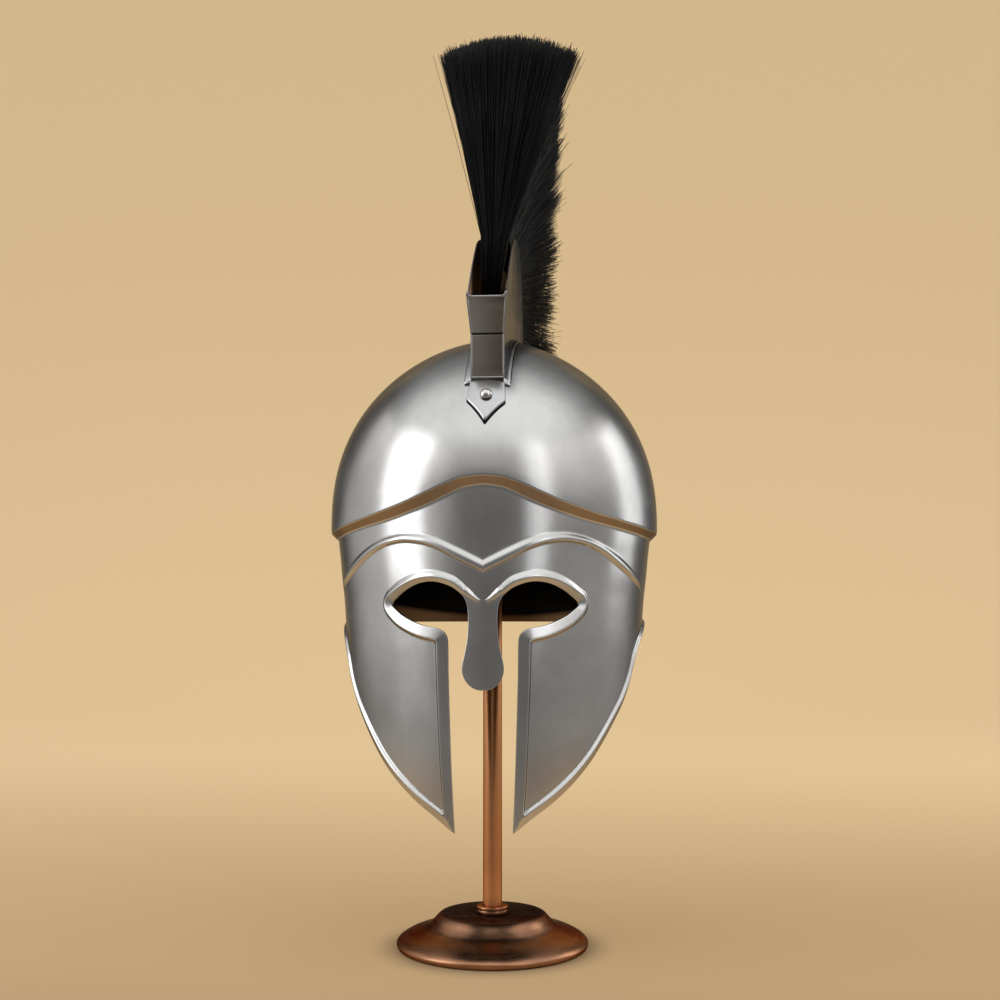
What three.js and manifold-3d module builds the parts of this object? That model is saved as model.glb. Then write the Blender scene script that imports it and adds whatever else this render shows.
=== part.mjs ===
// Crested steel helmet standing on a round copper-finished stand.
// Millimetres, +Z up, the face looks toward -Y, origin at the centre of the stand's underside.

import * as THREE from 'three';
import { mergeVertices } from 'three/addons/utils/BufferGeometryUtils.js';
import Module from 'manifold-3d';

const wasm = await Module();
wasm.setup();

// Clearance kept between neighbouring pieces.
const SEAT_GAP = 0.3;

// Helmet sheet and the middle of its oval sections, behind the rod's axis.
const SHEET = 1.5;
const OVAL_Y = 22;
const COLUMNS = 60;
const CROWN_ROWS = 7;
const FACE_ROWS = 5;
const FACET_TOLERANCE = 0.05;

// Crown bowl: half width, half lengths to front and rear, base height, rise and two roundness powers.
const CROWN = { half: 112.8, front: 125, rear: 129.5, base: 278.6, rise: 131.8, up: 2.346, out: 1.683 };

// Oval sections of the face and neck wall below the crown's step.
const FACE_SECTIONS = [
  { z: 60, half: 84, front: 110, rear: 114 },
  { z: 90, half: 90, front: 112, rear: 117 },
  { z: 140, half: 96.5, front: 116.5, rear: 121 },
  { z: 180, half: 99.6, front: 118.6, rear: 124 },
  { z: 200, half: 101, front: 119.4, rear: 126.5 },
  { z: 215, half: 102, front: 119.8, rear: 127 },
  { z: 230, half: 103.2, front: 120, rear: 125.5 },
  { z: 243, half: 104.8, front: 120, rear: 124.6 },
  { z: 257, half: 106.2, front: 119.8, rear: 124.2 },
  { z: 270, half: 107.6, front: 119.4, rear: 124 },
  { z: 285, half: 108, front: 118.6, rear: 123 },
  { z: 300, half: 107, front: 117.5, rear: 121.5 },
  { z: 320, half: 104, front: 115, rear: 119 },
];

// Step round the crown, by degrees from the front: upper edge on the bowl, lower edge on the wall.
const STEP = [
  { deg: 0, upper: 304, lower: 298 },
  { deg: 6, upper: 302.9, lower: 296.4 },
  { deg: 12, upper: 299.2, lower: 291.6 },
  { deg: 19, upper: 293.6, lower: 286 },
  { deg: 26, upper: 288.5, lower: 281.8 },
  { deg: 34, upper: 284.1, lower: 278 },
  { deg: 42, upper: 280.8, lower: 275.4 },
  { deg: 59, upper: 276.2, lower: 271.6 },
  { deg: 73, upper: 274.4, lower: 269.6 },
  { deg: 95, upper: 273.8, lower: 268.6 },
  { deg: 180, upper: 273.8, lower: 268.6 },
];

// Free lower edge of cheek guards and neck, by degrees from the front.
const LOWER_EDGE = [
  { deg: 0, z: 78 },
  { deg: 8, z: 84 },
  { deg: 12.2, z: 88 },
  { deg: 18, z: 95 },
  { deg: 28, z: 106 },
  { deg: 36.5, z: 117.2 },
  { deg: 43.5, z: 128.4 },
  { deg: 49.5, z: 140 },
  { deg: 55.5, z: 151.7 },
  { deg: 61.8, z: 163.6 },
  { deg: 67, z: 176 },
  { deg: 71, z: 189 },
  { deg: 77, z: 199.5 },
  { deg: 88, z: 208 },
  { deg: 104, z: 212 },
  { deg: 130, z: 213 },
  { deg: 180, z: 213 },
];

// Right half of the face opening: nose guard, eye and slot beside the cheek guard.
const OPENING_EDGE = [
  { x: 0, z: 173.2 },
  { x: 5, z: 174.2 },
  { x: 9.4, z: 177.4 },
  { x: 12.2, z: 182.4 },
  { x: 12.7, z: 188 },
  { x: 11, z: 196 },
  { x: 9.4, z: 205 },
  { x: 8.9, z: 214 },
  { x: 9.2, z: 222 },
  { x: 10.6, z: 227.6 },
  { x: 13.8, z: 232 },
  { x: 20.5, z: 236.5 },
  { x: 30.5, z: 239.2 },
  { x: 40.5, z: 238.2 },
  { x: 49.2, z: 234.2 },
  { x: 55.5, z: 229.3 },
  { x: 57.7, z: 227.3 },
  { x: 58.4, z: 225.6 },
  { x: 57.5, z: 223.8 },
  { x: 55, z: 221.6 },
  { x: 50.6, z: 218.2 },
  { x: 43, z: 214.4 },
  { x: 35.5, z: 212 },
  { x: 28.2, z: 210.6 },
  { x: 24, z: 208.4 },
  { x: 22, z: 204.8 },
  { x: 21.5, z: 199 },
  { x: 21.3, z: 180 },
  { x: 20.4, z: 150 },
  { x: 19.4, z: 120 },
  { x: 17.9, z: 88 },
  { x: 17, z: 70 },
];
const OPENING_FRONT_Y = -150;
const OPENING_BACK_Y = -25;
const OPENING_STEPS = 60;

// Raised rim round the eyes, down the cheek guards and along the lower edge: edge points,
// distance of the crest from the edge, its height and the width of the slope beyond it.
const RIM_EYE = [
  { x: 2.8, z: 227, out: 0.6, rise: 0.3, foot: 1 },
  { x: 11.2, z: 230.4, out: 2.4, rise: 1.5, foot: 2.8 },
  { x: 20.5, z: 236.5, out: 2.8, rise: 2, foot: 4 },
  { x: 30.5, z: 239.2, out: 2.8, rise: 2, foot: 4.2 },
  { x: 40.5, z: 238.2, out: 2.9, rise: 2, foot: 4.2 },
  { x: 49.2, z: 234.2, out: 3.2, rise: 2, foot: 4 },
  { x: 55.5, z: 229.3, out: 3.7, rise: 2, foot: 3.6 },
  { x: 58.4, z: 225.6, out: 4.4, rise: 2, foot: 3.2 },
  { x: 55, z: 221.6, out: 5.2, rise: 2, foot: 2.7 },
  { x: 50.6, z: 218.2, out: 5.7, rise: 2, foot: 2.4 },
  { x: 43, z: 214.4, out: 6, rise: 2, foot: 2.3 },
  { x: 35.5, z: 212, out: 6.2, rise: 2, foot: 2.2 },
  { x: 23.4, z: 207.6, out: 6.6, rise: 2, foot: 2 },
  { x: 21.4, z: 190, out: 6.3, rise: 2, foot: 1.8 },
  { x: 20.4, z: 150, out: 6.1, rise: 2, foot: 1.7 },
  { x: 19.2, z: 115, out: 5.8, rise: 2, foot: 1.7 },
];
const RIM_TIP = { x: 18.1, z: 88.4, out: 5.2, rise: 2, foot: 1.7, miter: 2.2 };
const RIM_LOWER_FROM = 24;
const RIM_LOWER_STEP = 360 / COLUMNS;
const RIM_LOWER = { out: 5, rise: 1.8, foot: 1.7 };
const RIM_OVERCUT = 1.4;
const RIM_ROOT = 0.8;

// Brow ridge: lower and upper line of the bead on the right half.
const BROW = [
  { x: 0, lower: 244.7, upper: 252 },
  { x: 15, lower: 251.8, upper: 259.6 },
  { x: 30, lower: 259.6, upper: 266.2 },
  { x: 40, lower: 262.6, upper: 268.6 },
  { x: 50, lower: 263.7, upper: 269.3 },
  { x: 60, lower: 262.4, upper: 267.9 },
  { x: 71, lower: 257.9, upper: 264.2 },
  { x: 83, lower: 249.6, upper: 256.9 },
  { x: 92, lower: 242.2, upper: 248.6 },
  { x: 98, lower: 236.5, upper: 240 },
  { x: 100.4, lower: 233.4, upper: 234.6 },
];
const BROW_RISE = 2.2;

// Crest box: sheet, half widths, front strap and the turn of the whole box on the crown.
const CREST = {
  sheet: 1.2, half: 10.5, flare: 2.2, flareFrom: 396, flareTo: 419, foot: 4,
  turnDeg: 1.4, pivotX: 1, pivotY: -80,
};
const CREST_FRONT = {
  bottomY: -72, kinkY: -72.4, kinkZ: 396, topY: -80, topZ: 419, tabWideY: -83.6, tabTipY: -92,
};
const CREST_REAR = { bottomY: 88, topY: 86.8, topZ: 407, tabWideY: 97.5, tabTipY: 105 };
const STRAP_OVER = 0.2;
const TAB_HALF = 12;
const TAB_TIP_HALF = 0.6;
// Upper edge of the side walls, front to rear.
const CREST_ARCH = [
  { y: -80, z: 419 },
  { y: -66, z: 432.5 },
  { y: -48, z: 449 },
  { y: -20, z: 470 },
  { y: 4, z: 480 },
  { y: 28, z: 483.6 },
  { y: 50, z: 480.5 },
  { y: 66, z: 472 },
  { y: 76, z: 458 },
  { y: 82, z: 438 },
  { y: 86.4, z: 407 },
];
const RIVET = { radius: 4, rise: 2.7, frontY: -81.2, rearY: 96 };

// Hair crest: backing strip in the box and locks that fan from front to rear.
const PLUME = {
  frontY: -64, rearY: 78, baseDrop: 24, baseHalf: 6.2, backingHalf: 6, rows: 7,
  leanFront: 12, leanRear: 5, blunt: 0.6, rearHold: 0.9, overlap: 1.3,
};
// Direction of the hair (degrees back from upright), length and half width at the tips, front to rear.
const PLUME_FAN = [
  { u: 0, deg: -6, length: 182, half: 44 },
  { u: 0.25, deg: 2, length: 171, half: 44 },
  { u: 0.5, deg: 20, length: 153, half: 42 },
  { u: 0.75, deg: 54, length: 132, half: 34 },
  { u: 1, deg: 96, length: 118, half: 29 },
];
// Lock stations from root to tip: share of the length and of the tip half width.
const LOCK_STATIONS = [
  { along: 0, wide: 0, thick: 0.75 },
  { along: 0.28, wide: 0.11, thick: 1 },
  { along: 0.93, wide: 0.97, thick: 1 },
];

// Stand: turned foot, collar, rod and hidden rest.
const BASE_PROFILE = [
  { r: 61.5, z: 0 },
  { r: 62.9, z: 0.8 },
  { r: 63.5, z: 2.4 },
  { r: 63.1, z: 4 },
  { r: 61, z: 6 },
  { r: 57, z: 8.3 },
  { r: 52, z: 10.2 },
  { r: 47, z: 11.8 },
  { r: 43.2, z: 13.4 },
  { r: 39.8, z: 16.2 },
  { r: 36.6, z: 19.6 },
  { r: 34.6, z: 21.2 },
  { r: 32.8, z: 21.7 },
];
const BASE_TOP = 21.7;
const COLLAR = { outer: 10.6, height: 4.4, round: 1 };
const POLE_RADIUS = 6.35;
const REST = { radius: 22, capRadius: 64, edge: 5 };
const BASE_STEPS = 40;
const ROD_STEPS = 24;

const DEG = Math.PI / 180;

// Smooth value of a named column of a table at a key.
function columnAt(rows, key, column, at) {
  const last = rows.length - 1;
  const t = Math.min(Math.max(at, rows[0][key]), rows[last][key]);
  let i = 0;
  while (i < last - 1 && t > rows[i + 1][key]) i += 1;
  const slope = (k) => {
    if (k === 0 || k === last) {
      const a = rows[k === 0 ? 0 : last - 1];
      const b = rows[k === 0 ? 1 : last];
      return (b[column] - a[column]) / (b[key] - a[key]);
    }
    const before = (rows[k][column] - rows[k - 1][column]) / (rows[k][key] - rows[k - 1][key]);
    const after = (rows[k + 1][column] - rows[k][column]) / (rows[k + 1][key] - rows[k][key]);
    return before * after <= 0 ? 0 : (2 * before * after) / (before + after);
  };
  const span = rows[i + 1][key] - rows[i][key];
  const s = (t - rows[i][key]) / span;
  const h00 = (1 + 2 * s) * (1 - s) * (1 - s);
  const h10 = s * (1 - s) * (1 - s);
  const h01 = s * s * (3 - 2 * s);
  const h11 = s * s * (s - 1);
  const level = h00 * rows[i][column] + h01 * rows[i + 1][column];
  return level + span * (h10 * slope(i) + h11 * slope(i + 1));
}

function toSolid(geometry) {
  const bare = geometry.clone();
  bare.deleteAttribute('normal');
  bare.deleteAttribute('uv');
  const merged = mergeVertices(bare, 1e-4);
  return new wasm.Manifold(new wasm.Mesh({
    numProp: 3,
    vertProperties: Float32Array.from(merged.attributes.position.array),
    triVerts: Uint32Array.from(merged.index.array),
  }));
}

function toGeometry(solid) {
  const mesh = solid.getMesh();
  const geometry = new THREE.BufferGeometry();
  geometry.setAttribute('position', new THREE.BufferAttribute(Float32Array.from(mesh.vertProperties), 3));
  geometry.setIndex(new THREE.BufferAttribute(Uint32Array.from(mesh.triVerts), 1));
  geometry.computeVertexNormals();
  return geometry;
}

function indexed(points, triangles) {
  const volume = triangles.reduce((sum, [a, b, c]) => {
    const cross = new THREE.Vector3().crossVectors(points[b], points[c]);
    return sum + points[a].dot(cross);
  }, 0);
  const ordered = volume < 0 ? triangles.map(([a, b, c]) => [a, c, b]) : triangles;
  const geometry = new THREE.BufferGeometry();
  geometry.setAttribute('position', new THREE.Float32BufferAttribute(points.flatMap((p) => p.toArray()), 3));
  geometry.setIndex(ordered.flat());
  return geometry;
}

// Closed solid through rings of equal point count, with flat ends.
function loft(rings) {
  const count = rings[0].length;
  const points = rings.flat();
  const triangles = [];
  for (let r = 0; r < rings.length - 1; r += 1) {
    for (let k = 0; k < count; k += 1) {
      const a = r * count + k;
      const b = r * count + ((k + 1) % count);
      triangles.push([a, b, b + count], [a, b + count, a + count]);
    }
  }
  const end = (rings.length - 1) * count;
  for (let k = 1; k < count - 1; k += 1) {
    triangles.push([0, k + 1, k], [end, end + k, end + k + 1]);
  }
  return toSolid(indexed(points, triangles));
}

// Joined pieces as one body, with the pinholes between them filled.
function joined(pieces) {
  const bodies = wasm.Manifold.union(pieces).simplify(FACET_TOLERANCE).decompose();
  return bodies.reduce((largest, body) => (body.volume() > largest.volume() ? body : largest));
}

function turned(profile, steps) {
  const outline = profile.map(({ r, z }) => new THREE.Vector2(r, z));
  const geometry = new THREE.LatheGeometry(outline, steps);
  geometry.rotateX(Math.PI / 2);
  return toSolid(geometry);
}

// Helmet surfaces.

function faceOval(z) {
  const section = {};
  for (const column of ['half', 'front', 'rear']) section[column] = columnAt(FACE_SECTIONS, 'z', column, z);
  return section;
}

function facePoint(angle, z) {
  const { half, front, rear } = faceOval(z);
  const reach = Math.cos(angle) > 0 ? front : rear;
  return new THREE.Vector3(half * Math.sin(angle), OVAL_Y - reach * Math.cos(angle), z);
}

function faceAngleOfX(x, z) {
  return Math.asin(x / faceOval(z).half);
}

function faceNormal(angle, z) {
  const along = facePoint(angle + 0.002, z).sub(facePoint(angle - 0.002, z));
  const up = facePoint(angle, z + 0.2).sub(facePoint(angle, z - 0.2));
  return along.cross(up).normalize();
}

// Angle and height of the wall point nearest to a point beside it.
function onFace(point) {
  const { half, front, rear } = faceOval(point.z);
  const reach = point.y < OVAL_Y ? front : rear;
  return { angle: Math.atan2(point.x / half, (OVAL_Y - point.y) / reach), z: point.z };
}

function crownShare(z) {
  const u = Math.max((z - CROWN.base) / CROWN.rise, 0);
  return (1 - u ** CROWN.up) ** (1 / CROWN.out);
}

function crownPoint(angle, share, z) {
  const reach = Math.cos(angle) > 0 ? CROWN.front : CROWN.rear;
  return new THREE.Vector3(CROWN.half * share * Math.sin(angle), OVAL_Y - reach * share * Math.cos(angle), z);
}

function crownHeight(x, y) {
  const reach = y < OVAL_Y ? CROWN.front : CROWN.rear;
  const share = Math.hypot(x / CROWN.half, (y - OVAL_Y) / reach);
  return CROWN.base + CROWN.rise * (1 - share ** CROWN.out) ** (1 / CROWN.up);
}

function stepAt(angle, column) {
  return columnAt(STEP, 'deg', column, Math.abs(angle) / DEG);
}

function lowerEdgeAt(angle) {
  return columnAt(LOWER_EDGE, 'deg', 'z', Math.abs(angle) / DEG);
}

// One column of the outer surface from below the apex to the free lower edge.
function shellColumn(angle) {
  const upper = stepAt(angle, 'upper');
  const lower = stepAt(angle, 'lower');
  const bottom = lowerEdgeAt(angle);
  const rise = Math.max((upper - CROWN.base) / CROWN.rise, 0);
  const tiltEnd = Math.asin(rise ** (CROWN.up / 2));
  const column = [];
  for (let k = 1; k < CROWN_ROWS; k += 1) {
    const tilt = Math.PI / 2 + ((tiltEnd - Math.PI / 2) * k) / CROWN_ROWS;
    const share = Math.cos(tilt) ** (2 / CROWN.out);
    column.push(crownPoint(angle, share, CROWN.base + CROWN.rise * Math.sin(tilt) ** (2 / CROWN.up)));
  }
  column.push(crownPoint(angle, crownShare(upper), upper));
  for (let k = 0; k <= FACE_ROWS; k += 1) {
    column.push(facePoint(angle, lower + ((bottom - lower) * k) / FACE_ROWS));
  }
  return column;
}

function shellBlank() {
  const outer = [];
  for (let j = 0; j < COLUMNS; j += 1) {
    outer.push(shellColumn((j / COLUMNS) * 2 * Math.PI - Math.PI));
  }
  const rows = outer[0].length;
  const at = (j, k) => outer[(j + COLUMNS) % COLUMNS][k];
  const inner = outer.map((column, j) => column.map((point, k) => {
    const along = at(j + 1, k).clone().sub(at(j - 1, k));
    const up = at(j, Math.max(k - 1, 0)).clone().sub(at(j, Math.min(k + 1, rows - 1)));
    return point.clone().addScaledVector(along.cross(up).normalize(), -SHEET);
  }));
  const apex = new THREE.Vector3(0, OVAL_Y, CROWN.base + CROWN.rise);
  const points = [apex, apex.clone().setZ(apex.z - SHEET)];
  const outerAt = (j, k) => 2 + (j % COLUMNS) * rows * 2 + k;
  const innerAt = (j, k) => outerAt(j, k) + rows;
  for (let j = 0; j < COLUMNS; j += 1) points.push(...outer[j], ...inner[j]);
  const triangles = [];
  for (let j = 0; j < COLUMNS; j += 1) {
    triangles.push([0, outerAt(j, 0), outerAt(j + 1, 0)], [1, innerAt(j + 1, 0), innerAt(j, 0)]);
    for (let k = 0; k < rows - 1; k += 1) {
      triangles.push([outerAt(j, k), outerAt(j, k + 1), outerAt(j + 1, k + 1)]);
      triangles.push([outerAt(j, k), outerAt(j + 1, k + 1), outerAt(j + 1, k)]);
      triangles.push([innerAt(j, k), innerAt(j + 1, k + 1), innerAt(j, k + 1)]);
      triangles.push([innerAt(j, k), innerAt(j + 1, k), innerAt(j + 1, k + 1)]);
    }
    triangles.push([outerAt(j, rows - 1), innerAt(j, rows - 1), innerAt(j + 1, rows - 1)]);
    triangles.push([outerAt(j, rows - 1), innerAt(j + 1, rows - 1), outerAt(j + 1, rows - 1)]);
  }
  return toSolid(indexed(points, triangles));
}

// Point raised over the wall beside an edge point, in direction `aside`.
function besideEdge(edge, aside, out, rise) {
  const foot = onFace(edge.clone().addScaledVector(aside, out));
  return facePoint(foot.angle, foot.z).addScaledVector(faceNormal(foot.angle, foot.z), rise);
}

function rimBand() {
  const side = RIM_EYE.map(({ x, z, ...shape }) => ({
    angle: faceAngleOfX(x, z), z, ...shape, start: -RIM_OVERCUT, miter: 1,
  }));
  side.push({ ...RIM_TIP, angle: faceAngleOfX(RIM_TIP.x, RIM_TIP.z), start: 0.2 });
  for (let deg = RIM_LOWER_FROM; deg <= 180; deg += RIM_LOWER_STEP) {
    side.push({ angle: deg * DEG, z: lowerEdgeAt(deg * DEG), ...RIM_LOWER, start: 0.2, miter: 1 });
  }
  const mirrored = side.slice(0, -1).reverse().map((row) => ({ ...row, angle: -row.angle }));
  const path = [...side, ...mirrored];
  const edges = path.map(({ angle, z }) => facePoint(angle, z));
  const rings = path.map(({ angle, z, out, rise, foot, start, miter }, i) => {
    const before = edges[Math.max(i - 1, 0)];
    const after = edges[Math.min(i + 1, edges.length - 1)];
    const into = edges[i].clone().sub(before);
    const onward = after.clone().sub(edges[i]);
    const along = into.normalize().add(onward.normalize()).normalize();
    const aside = faceNormal(angle, z).cross(along).normalize();
    const profile = [
      [start, -RIM_ROOT], [start, 0.2], [out, rise], [out + foot, 0.05], [out + foot, -RIM_ROOT],
    ];
    return profile.map(([d, h]) => besideEdge(edges[i], aside, d * miter, h));
  });
  return loft(rings);
}

function browBand() {
  const rings = [];
  const last = BROW.length - 1;
  for (let i = -last; i <= last; i += 1) {
    const { x, lower, upper } = BROW[Math.abs(i)];
    const rise = BROW_RISE * Math.min((upper - lower) / 5, 1);
    const profile = [[0, -RIM_ROOT], [0, 0.05], [0.3, rise], [0.62, rise * 0.86], [1, 0.05], [1, -RIM_ROOT]];
    rings.push(profile.map(([share, h]) => {
      const z = lower + (upper - lower) * share;
      const angle = faceAngleOfX(Math.sign(i) * x, z);
      return facePoint(angle, z).addScaledVector(faceNormal(angle, z), h);
    }));
  }
  return loft(rings);
}

function openingCutter() {
  const edge = new THREE.SplineCurve(OPENING_EDGE.map(({ x, z }) => new THREE.Vector2(x, z)));
  const right = edge.getSpacedPoints(OPENING_STEPS);
  const left = right.slice(1).reverse().map((p) => new THREE.Vector2(-p.x, p.y));
  const shape = new THREE.Shape([...right, ...left]);
  const geometry = new THREE.ExtrudeGeometry(shape, {
    depth: OPENING_BACK_Y - OPENING_FRONT_Y, bevelEnabled: false, steps: 1,
  });
  geometry.rotateX(Math.PI / 2);
  geometry.translate(0, OPENING_BACK_Y, 0);
  return toSolid(geometry);
}

function helmetShell() {
  return shellBlank().add(rimBand()).add(browBand()).subtract(openingCutter()).simplify(FACET_TOLERANCE);
}

// Crest box. Its own frame is turned a little on the crown.

function crestPlan(x, y) {
  const turn = CREST.turnDeg * DEG;
  const aft = y - CREST.pivotY;
  return [
    CREST.pivotX + x * Math.cos(turn) + aft * Math.sin(turn),
    CREST.pivotY - x * Math.sin(turn) + aft * Math.cos(turn),
  ];
}

// Point over the crown, lifted square to the sheet.
function overCrown(x, y, lift) {
  const [px, py] = crestPlan(x, y);
  const slopeX = crownHeight(px + 0.5, py) - crownHeight(px - 0.5, py);
  const slopeY = crownHeight(px, py + 0.5) - crownHeight(px, py - 0.5);
  return new THREE.Vector3(px, py, crownHeight(px, py) + lift * Math.hypot(1, slopeX, slopeY));
}

function crestPoint(x, y, z) {
  const [px, py] = crestPlan(x, y);
  return new THREE.Vector3(px, py, z);
}

function crestHalf(z) {
  const share = (z - CREST.flareFrom) / (CREST.flareTo - CREST.flareFrom);
  return CREST.half + CREST.flare * Math.min(Math.max(share, 0), 1);
}

// Side wall as a strip from the crown to the arched edge.
function crestWall(sign) {
  const stations = [
    { y: CREST_FRONT.bottomY, topY: CREST_FRONT.topY, topZ: CREST_FRONT.topZ },
  ];
  const arch = new THREE.SplineCurve(CREST_ARCH.map(({ y, z }) => new THREE.Vector2(y, z)));
  const steps = 15;
  for (let i = 1; i <= steps; i += 1) {
    const top = arch.getPointAt(i / steps);
    const y = CREST_FRONT.bottomY + ((CREST_REAR.bottomY - CREST_FRONT.bottomY) * i) / steps;
    stations.push({ y, topY: top.x, topZ: top.y });
  }
  const rings = stations.map(({ y, topY, topZ }) => {
    const sheet = CREST.sheet;
    const foot = Math.max(
      overCrown(sign * (CREST.half - sheet), y, SEAT_GAP).z,
      overCrown(sign * CREST.half, y, SEAT_GAP).z,
    );
    const bendZ = Math.max(CREST.flareFrom, foot + 4);
    const bendY = y + ((topY - y) * (bendZ - foot) * 0.2) / Math.max(topZ - foot, 1);
    const low = crestHalf(foot);
    const bend = crestHalf(bendZ);
    const high = crestHalf(topZ);
    return [
      crestPoint(sign * low, y, foot),
      crestPoint(sign * bend, bendY, bendZ),
      crestPoint(sign * high, topY, topZ),
      crestPoint(sign * (high - sheet), topY, topZ),
      crestPoint(sign * (bend - sheet), bendY, bendZ),
      crestPoint(sign * (low - sheet), y, foot),
    ];
  });
  return loft(rings);
}

function crestFoot(sign) {
  const rings = [];
  const steps = 15;
  for (let i = 0; i <= steps; i += 1) {
    const y = CREST_FRONT.bottomY - 1 + ((CREST_REAR.bottomY - CREST_FRONT.bottomY + 2) * i) / steps;
    const base = crestHalf(overCrown(0, y, 0).z);
    const inner = sign * (base - CREST.sheet * 0.6);
    const outer = sign * (base + CREST.foot);
    const level = SEAT_GAP + 0.15;
    rings.push([
      overCrown(inner, y, level), overCrown(outer, y, level),
      overCrown(outer, y, level + CREST.sheet), overCrown(inner, y, level + CREST.sheet),
    ]);
  }
  return loft(rings);
}

// Upright end strap between the walls; rows of side-view points with their half widths.
function crestStrap(rows, outward) {
  const rings = rows.map(({ y, z, half }) => [
    crestPoint(-half, y - outward * 0.9, z), crestPoint(half, y - outward * 0.9, z),
    crestPoint(half, y + outward * CREST.sheet, z), crestPoint(-half, y + outward * CREST.sheet, z),
  ]);
  return loft(rings);
}

// Pointed tab that lies on the crown below a strap.
function crestTab(startY, wideY, tipY) {
  const rows = [
    { y: startY, half: CREST.half },
    { y: (startY + wideY) / 2, half: (CREST.half + TAB_HALF) / 2 },
    { y: wideY, half: TAB_HALF },
    { y: (wideY + tipY) / 2, half: (TAB_HALF + TAB_TIP_HALF) / 2 },
    { y: tipY, half: TAB_TIP_HALF },
  ];
  const shares = [-1, 0, 1];
  const rings = rows.map(({ y, half }) => [
    ...shares.map((share) => overCrown(share * half, y, SEAT_GAP + 0.1)),
    ...shares.map((share) => overCrown(-share * half, y, SEAT_GAP + 0.1 + CREST.sheet * 1.2)),
  ]);
  return loft(rings);
}

function crestHolder() {
  const frontFoot = overCrown(0, CREST_FRONT.bottomY + 1, SEAT_GAP).z + 0.2;
  const rearFoot = overCrown(0, CREST_REAR.bottomY - 1, SEAT_GAP).z + 0.2;
  const front = crestStrap([
    { y: CREST_FRONT.bottomY, z: frontFoot, half: CREST.half + STRAP_OVER },
    { y: CREST_FRONT.kinkY, z: CREST_FRONT.kinkZ, half: CREST.half + STRAP_OVER },
    {
      y: CREST_FRONT.topY, z: CREST_FRONT.topZ + STRAP_OVER,
      half: crestHalf(CREST_FRONT.topZ) + STRAP_OVER,
    },
  ], -1);
  const rear = crestStrap([
    { y: CREST_REAR.bottomY, z: rearFoot, half: CREST.half + STRAP_OVER },
    { y: CREST_REAR.topY, z: CREST_REAR.topZ + STRAP_OVER, half: crestHalf(CREST_REAR.topZ) + STRAP_OVER },
  ], 1);
  const pieces = [
    crestWall(1), crestWall(-1), crestFoot(1), crestFoot(-1), front, rear,
    crestTab(CREST_FRONT.bottomY + 0.6, CREST_FRONT.tabWideY, CREST_FRONT.tabTipY),
    crestTab(CREST_REAR.bottomY - 0.6, CREST_REAR.tabWideY, CREST_REAR.tabTipY),
  ];
  return joined(pieces);
}

function rivet(y) {
  const seat = overCrown(0, y, 0);
  const ahead = overCrown(0, y - 0.5, 0).sub(overCrown(0, y + 0.5, 0));
  const across = overCrown(0.5, y, 0).sub(overCrown(-0.5, y, 0));
  const normal = across.cross(ahead).normalize();
  if (normal.z < 0) normal.negate();
  const profile = [];
  const steps = 4;
  for (let i = 0; i <= steps; i += 1) {
    const tilt = (i / steps) * (Math.PI / 2);
    const reach = i === steps ? 0 : RIVET.radius * Math.cos(tilt);
    profile.push(new THREE.Vector2(reach, RIVET.rise * Math.sin(tilt)));
  }
  const geometry = new THREE.LatheGeometry([new THREE.Vector2(0, 0), ...profile], 16);
  geometry.applyQuaternion(new THREE.Quaternion().setFromUnitVectors(new THREE.Vector3(0, 1, 0), normal));
  const lift = SEAT_GAP * 2 + 0.2 + CREST.sheet * 1.2;
  const centre = seat.addScaledVector(normal, lift);
  geometry.translate(centre.x, centre.y, centre.z);
  return toSolid(geometry);
}

// Hair crest.

function plumeRoot(u) {
  const y = PLUME.frontY + (PLUME.rearY - PLUME.frontY) * u;
  return { y, z: columnAt(CREST_ARCH, 'y', 'z', y) - PLUME.baseDrop };
}

function plumeFan(u) {
  const fan = {};
  for (const column of ['deg', 'length', 'half']) fan[column] = columnAt(PLUME_FAN, 'u', column, u);
  return fan;
}

// Place in the crest at station u, share `along` of the hair length, `across` in millimetres.
function plumePoint(u, along, across) {
  const root = plumeRoot(u);
  const { deg, length } = plumeFan(u);
  const lean = (PLUME.leanFront + (PLUME.leanRear - PLUME.leanFront) * u) * along;
  const reach = length * along;
  const tilt = deg * DEG;
  return crestPoint(across + lean, root.y + reach * Math.sin(tilt), root.z + reach * Math.cos(tilt));
}

function plumeHalf(u, wide) {
  return PLUME.baseHalf + (plumeFan(u).half - PLUME.baseHalf) * wide ** (1 + PLUME.rearHold * u);
}

function lock(u, step, place) {
  const from = Math.max(u - step * 0.62, 0);
  const to = Math.min(u + step * 0.62, 1);
  const trim = 1 - 0.09 * place * place - 0.025 * Math.cos(u * 40 + place * 2);
  const rings = LOCK_STATIONS.map(({ along, wide, thick }) => {
    const half = plumeHalf(u, wide);
    const middle = place * (half - (half / 3) * PLUME.overlap);
    const third = (half / 3) * PLUME.overlap;
    const share = along * trim;
    const pinch = (1 - thick) * (to - from) * 0.5;
    return [
      plumePoint(from + pinch, share, middle - third * 0.5),
      plumePoint(from + pinch, share, middle + third * 0.5),
      plumePoint((from + to) / 2, share, middle + third),
      plumePoint(to - pinch, share, middle + third * 0.5),
      plumePoint(to - pinch, share, middle - third * 0.5),
      plumePoint((from + to) / 2, share, middle - third),
    ];
  });
  const lastRing = rings[rings.length - 1];
  const centre = lastRing.reduce((sum, p) => sum.add(p), new THREE.Vector3()).divideScalar(lastRing.length);
  const tip = plumePoint(u, trim, place * plumeHalf(u, 1) * (1 - PLUME.overlap / 3));
  rings.push(lastRing.map((p) => tip.clone().add(p.clone().sub(centre).multiplyScalar(PLUME.blunt))));
  return loft(rings);
}

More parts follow.
